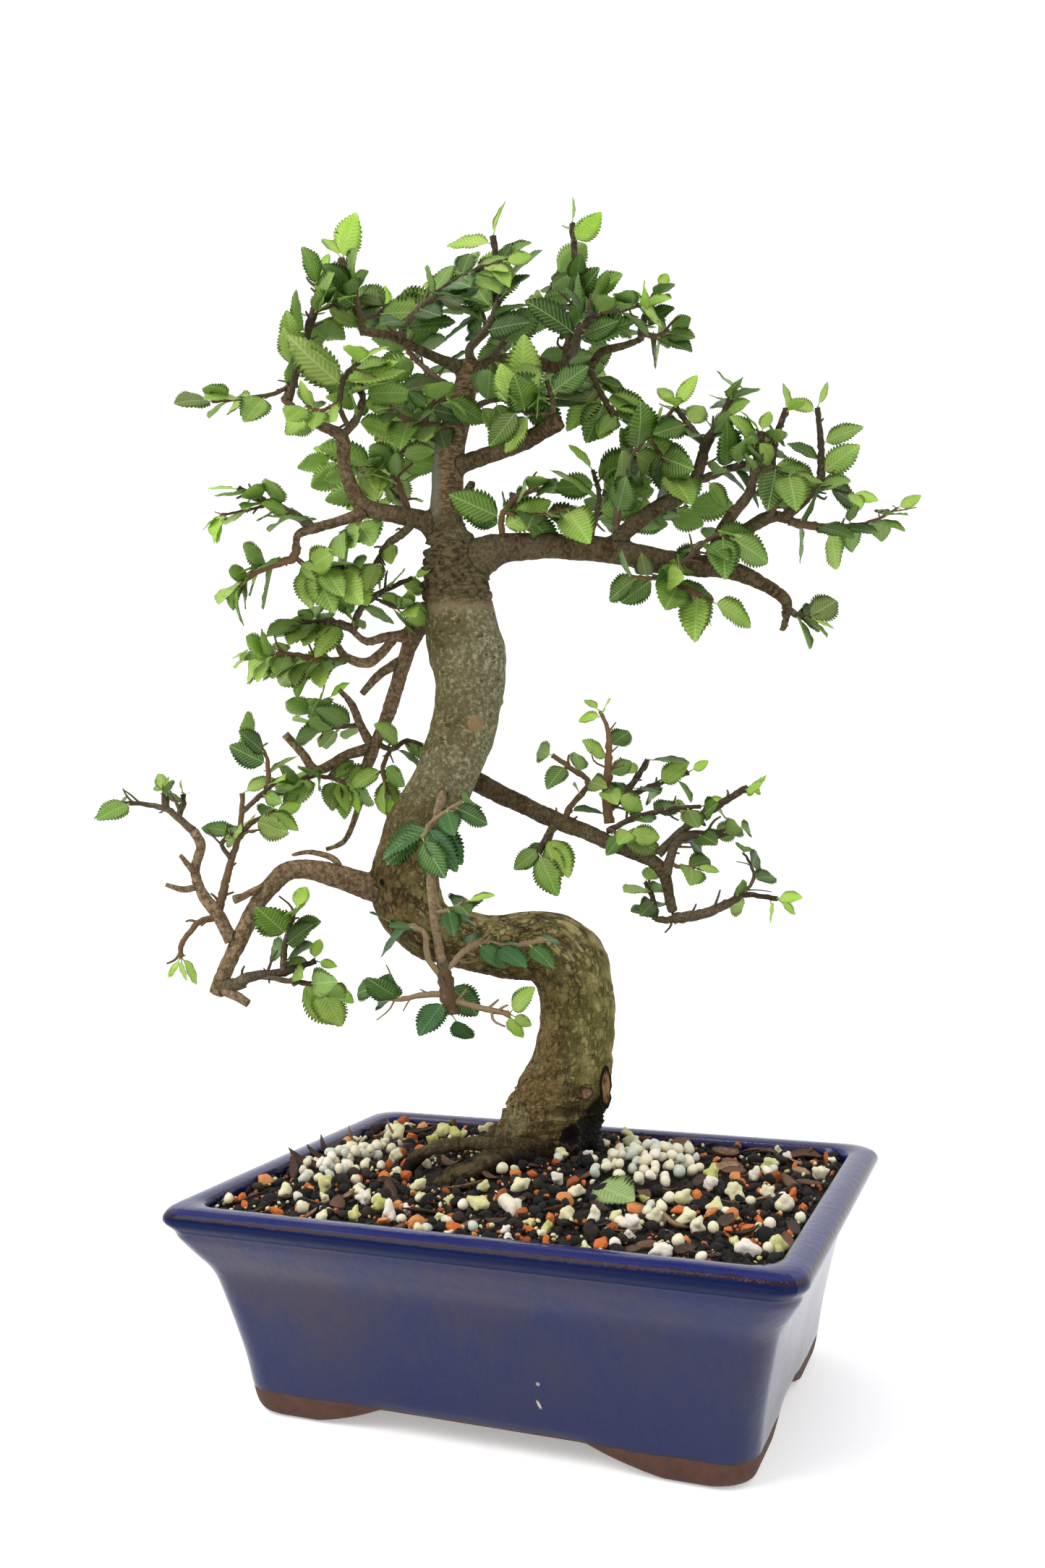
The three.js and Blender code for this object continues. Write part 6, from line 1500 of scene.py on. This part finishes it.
        ([(-36, -46, 139), (-25, -48, 136), (-15, -49, 134)], (2.3, 1.8), 3, 13, 0.85, 3, 0),
    ],
    "crown_back_left": [
        ([(-30, 4, 374), (-43, 28, 389), (-56, 45, 407), (-66, 54, 426)], (2.6, 1.6), 12, 17, 0.2, 1, 0.2),
        ([(-46, 31, 392), (-52, 48, 383), (-63, 58, 373)], (1.8, 1.3), 8, 16, 0.2, 0, 0.4),
    ],
    "crown_back_right": [
        ([(-26, 4, 378), (-12, 34, 406), (2, 50, 424), (12, 58, 446)], (2.9, 1.6), 13, 17, 0.2, 1, 0.2),
        ([(-11, 35, 407), (6, 56, 403), (26, 66, 406)], (1.8, 1.3), 9, 16, 0.2, 0, 0.4),
    ],
    "right_back": [
        ([(15, -4, 308), (22, 22, 326), (35, 38, 341), (49, 46, 362)], (2.8, 1.6), 10, 16, 0.2, 1, 0.2),
        ([(24, 24, 328), (45, 44, 331), (65, 54, 338)], (1.8, 1.3), 8, 16, 0.2, 0, 0.4),
    ],
}


WORD = 2 ** 32
SPREAD, FACTOR, STEP = 2654435761, 1664525, 1013904223


class Draws:
    """The same even numbers from 0 to 1 each time for a seed, each worked out from the one before."""

    def __init__(self, seed):
        self.state = seed * SPREAD % WORD
        self.next()

    def next(self):
        self.state = (self.state * FACTOR + STEP) % WORD
        return self.state / WORD


def twig_route(twig):
    return np.array([grown(*point) for point in twig[0]])


def twig_heading(points, share):
    return unit(spline(points, min(1, share + 0.02)) - spline(points, max(0, share - 0.02)))


LEAF_GROWTH = 1.18
BETWEEN_CHANCE = 0.34
TWIG_SIDES = 8


def twig_leaves(twig, seed):
    """Where each leaf of a twig grows: its share along it, root, heading, upper side, length and youth."""
    _, _, count, long, start, young_count, droop = twig
    even = Draws(seed)
    points = twig_route(twig)
    viewer = grown(0, -1, 0) - TREE_FOOT
    roll = (even.next() - 0.5) * 1.4
    leaves = []
    for number in range(count):
        last = number == count - 1
        young = number >= count - young_count
        spot = 1 if last else (number + 0.3 + 0.5 * even.next()) / count
        if young:
            spot = 1 - 0.06 * (count - 1 - number)
        share = start + (1 - start) * spot
        stem = twig_heading(points, share)
        flat = np.cross(stem, (0, 0, 1))
        if np.linalg.norm(flat) < 0.3:
            flat = np.array([math.cos(6 * roll), math.sin(6 * roll), 0])
        flat = unit(flat)
        turn = roll + (even.next() - 0.5) * 0.9
        rank = flat * math.cos(turn) + np.cross(flat, stem) * math.sin(turn)
        tip_spread = 0.45 if young_count else 1.0
        spread = tip_spread if last else 0.9 + 0.4 * even.next()
        side = 1 if number % 2 else -1
        root = spline(points, share)
        heading = stem * math.cos(spread) + rank * side * math.sin(spread)
        heading[2] -= droop * (0.5 + 0.6 * even.next())
        heading = unit(heading)
        outward = unit((root - TREE_FOOT) * (1, 1, 0))
        normal = np.array([even.next() - 0.5, even.next() - 0.5, even.next() - 0.5]) * 1.2
        normal += (0, 0, 0.5) + outward * 0.25
        normal += viewer * (0.8 if (root - TREE_FOOT) @ viewer > -25 else -0.7)
        normal = unit(normal - heading * (normal @ heading))
        length = long * LEAF_GROWTH * (0.78 + 0.4 * even.next())
        if young:
            length *= 0.62 if last else 0.85
        leaves.append((share, root, heading, normal, length, young))
    return leaves


def between_leaves(twig, leaves, draw, thin):
    """Smaller leaves that stand across the twig from some of its leaves, none on the thin sprays."""
    points = twig_route(twig)
    made = []
    for share, _, heading, normal, length, young in leaves:
        if thin or young or draw.uniform() > BETWEEN_CHANCE:
            continue
        share = min(0.97, share + draw.uniform(-0.06, 0.06))
        stem = twig_heading(points, share)
        across = unit(2 * (stem @ heading) * stem - heading + draw.normal(0, 0.16, 3))
        upper = unit(normal - across * (normal @ across))
        made.append((share, spline(points, share), across, upper, length * draw.uniform(0.6, 0.9), False))
    return made


def twig_wood(twig, leaves, draw):
    """A twig's tube, thicker at each leaf joint and a little crooked."""
    first, last = twig[1]
    points = twig_route(twig)
    reach = np.linalg.norm(np.diff(points, axis=0), axis=1).sum()
    shares = np.linspace(0, 1, max(4, math.ceil(reach / 1.3)) + 1)
    path = np.array([spline(points, share) for share in shares])
    radii = np.maximum(0.45, (first + (last - first) * shares) * 0.56)
    for share, *_ in leaves:
        away = (shares - share) * reach
        radii = radii * (1 + 0.22 * np.exp(-(away / 0.9) ** 2))
    radii = radii * (1 + draw.uniform(-0.06, 0.06, len(radii)))
    wander = draw.normal(0, 0.12, (len(path), 3))
    wander[0] = wander[-1] = 0
    return tube(path + wander, radii, TWIG_SIDES), shares


def twiglets(twig, draw):
    """Short bare shoots and spurs that stand off a twig."""
    points = twig_route(twig)
    reach = np.linalg.norm(np.diff(points, axis=0), axis=1).sum()
    made = []
    for _ in range(round(reach / 5.5)):
        share = draw.uniform(0.05, 0.9)
        root, stem = spline(points, share), twig_heading(points, share)
        away = unit(np.cross(stem, draw.normal(size=3)))
        long = draw.uniform(3, 11) if draw.uniform() < 0.6 else draw.uniform(1.2, 2.5)
        bend = draw.normal(0, 0.10, 3) * long
        end = root + unit(stem * 0.7 + away) * long
        radius = min(0.7, twig[1][1] * 0.45)
        path = [spline((root, (root + end) / 2 + bend, end), step / 5) for step in range(6)]
        made.append(tube(path, np.linspace(radius, radius * 0.55, 6), 5))
    return made


def twig_bark():
    look = Look("twig_bark", Roughness=0.65, Specular_IOR_Level=0.25)
    tone, tan, share = look.axes(look.mark("leaf_nature", "Vector"))
    fine = look.grain(1.4, 4, 0.6)
    fresh = look.mix(tone * tone, (0.030, 0.019, 0.008), (0.150, 0.080, 0.034))
    colour = look.layered(
        (0.040, 0.028, 0.013),
        (look.rise(fine, 0.35, 0.65), (0.125, 0.092, 0.046)),
        (look.rise(share + (tone - 0.5) * 0.6, 0.05, 0.5), fresh),
        (tan, look.mix(fine, (0.150, 0.100, 0.050), (0.380, 0.270, 0.150))),
        (look.rise(look.grain(0.5, 2), 0.55, 0.7) * 0.5, (0.16, 0.12, 0.075)))
    look.bump(fine, 0.25)
    return look.paint(Base_Color=colour, Roughness=0.5 + fine * 0.3)


def grow_spray(name, twigs, first_seed, looks, draw):
    """One spray as a piece: the front ones are darker and bluer on tan twigs, those at the left lighter."""
    parts, places, natures, kinds = [], [], [], []

    def put(made, place, nature, kind):
        points, faces = made
        parts.append((points, faces))
        places.append(np.broadcast_to(place, points.shape))
        natures.append(np.broadcast_to(nature, points.shape))
        kinds.extend([kind] * len(faces))

    front = name.startswith("front")
    left = name.startswith(("mid_left", "upper_left", "left"))
    thin = front or name.startswith(("lower_right", "low_left"))
    lift = 0.55 * left - 0.2 * front
    for number, twig in enumerate(twigs):
        leaves = twig_leaves(twig, first_seed + number)
        wood, shares = twig_wood(twig, leaves, draw)
        tone, tan = draw.uniform(0, 1), 0.8 * front * (twig[1][1] < 4)
        along = np.repeat(shares, TWIG_SIDES)
        put(wood, 0, np.column_stack([np.full_like(along, tone), np.full_like(along, tan), along]), 1)
        for shoot in twiglets(twig, draw):
            put(shoot, 0, (tone, tan, 0.3), 1)
        thick = max(0.42, twig[1][1] / 2)
        every_leaf = leaves + between_leaves(twig, leaves, draw, thin)
        for share, root, heading, normal, length, young in every_leaf:
            stalk = thick + draw.uniform(0.8, 1.6)
            base = root + heading * stalk
            course = [root, root + heading * stalk * 0.6, base + heading * 0.4]
            put(tube(course, (0.4, 0.3, 0.24), 5), (0.3, 0, 0), (0.8, 0.35, 0), 0)
            youth = draw.uniform(0.6, 1) if young else share ** 3 * draw.uniform(0, 0.55) * (not front)
            points, place, nature = leaf_blade(base, heading, normal, length - stalk * 0.5, draw, youth)
            nature[:, 0] = np.clip(nature[:, 0] + lift, 0, 1)
            nature[:, 2] = nature[:, 2] + front
            while (points < room_low).any() or (points > room_high).any():
                points = base + (points - base) * 0.93
            put((points, LEAF_FACES), place, nature, 0)
    points, faces = gathered(parts)
    marks = {"leaf_place": np.concatenate(places), "leaf_nature": np.concatenate(natures)}
    make_piece(name + "_spray", points, faces, looks, [name], marks, kinds)


# The solids' own box, which no leaf passes
room_low, room_high = (np.array(end) / MM - POT_CENTRE for end in (cad_low, cad_high))
draw = np.random.default_rng(5)
leaf_look = leaf_green("elm_leaf", (0.015, 0.058, 0.004), (0.210, 0.410, 0.028), (0.50, 0.68, 0.13), 0.36)
spray_looks = [leaf_look, twig_bark()]
seed = 100
for name, twigs in SPRAYS.items():
    grow_spray(name, twigs, seed, spray_looks, draw)
    seed += len(twigs)

# Stage
# The tree stands on a plain white sweep in soft light that comes from all round, as in a high-key studio,
# with a large lamp up to the left of the camera. The camera stands where the photograph was taken from.


def stage_floor():
    half = 6.0
    corners = [(-half, -half, 0), (half, -half, 0), (half, half, 0), (-half, half, 0)]
    floor = add_object("studio_floor", corners, [(0, 1, 2, 3)])
    look = Look("studio_white", Roughness=0.9, Emission_Color=(1, 1, 1, 1), Emission_Strength=0.35)
    floor.data.materials.append(look.paint(
        Base_Color=look.mix(look.grain(0.002), (0.90, 0.90, 0.90), (0.93, 0.93, 0.93))))


def lamp(name, where, size, power):
    """A square white lamp turned to the middle of the tree."""
    light = bpy.data.lights.new(name, "AREA")
    light.size = size
    light.energy = power
    placed = bpy.data.objects.new(name, light)
    placed.location = where
    placed.rotation_euler = (Vector((0, 0, 0.2)) - Vector(where)).to_track_quat("-Z", "Y").to_euler()
    bpy.context.scene.collection.objects.link(placed)


stage_floor()
world = bpy.data.worlds.new("white_studio")
world.use_nodes = True
sky = world.node_tree.nodes
towards = sky.new("ShaderNodeTexCoord")
depth = sky.new("ShaderNodeSeparateXYZ")
fade = sky.new("ShaderNodeMapRange")
fade.interpolation_type = "SMOOTHSTEP"
for place, value in zip(fade.inputs[1:5], (-0.9, 0.3, 0.62, 1.15)):
    place.default_value = value
world.node_tree.links.new(towards.outputs["Generated"], depth.inputs[0])
world.node_tree.links.new(depth.outputs["Y"], fade.inputs["Value"])
world.node_tree.links.new(fade.outputs[0], sky["Background"].inputs["Strength"])
sky["Background"].inputs["Color"].default_value = (1, 1, 1, 1)
bpy.context.scene.world = world
lamp("key", (-0.75, -0.95, 1.25), 1.0, 18)
lamp("fill", (0.9, -0.7, 0.7), 0.9, 2)
bpy.context.scene.view_settings.view_transform = "Standard"

# How the camera is turned, and its focal length and the picture's height in the picture's pixels
YAW, PITCH, ROLL = -TREE_TURN, math.radians(-1.32), math.radians(-1.0)
FOCAL, PICTURE_TALL, SENSOR = 1888, 2168, 36
ahead = Vector((
    math.sin(YAW) * math.cos(PITCH), math.cos(YAW) * math.cos(PITCH), -math.sin(PITCH)))
level = Vector((math.cos(YAW), -math.sin(YAW), 0))
upward = level.cross(ahead)
camera_right = math.cos(ROLL) * level + math.sin(ROLL) * upward
camera_up = math.cos(ROLL) * upward - math.sin(ROLL) * level
lens = bpy.data.cameras.new("photo_camera")
lens.sensor_width = SENSOR
lens.lens = SENSOR * FOCAL / PICTURE_TALL
lens.clip_start = 0.01
camera = bpy.data.objects.new("photo_camera", lens)
stand = (np.array([181.0, -467.4, 204.7]) + POT_CENTRE) * MM
camera.matrix_world = Matrix((
    (camera_right.x, camera_up.x, -ahead.x, stand[0]),
    (camera_right.y, camera_up.y, -ahead.y, stand[1]),
    (camera_right.z, camera_up.z, -ahead.z, stand[2]),
    (0, 0, 0, 1)))
bpy.context.scene.collection.objects.link(camera)
bpy.context.scene.camera = camera
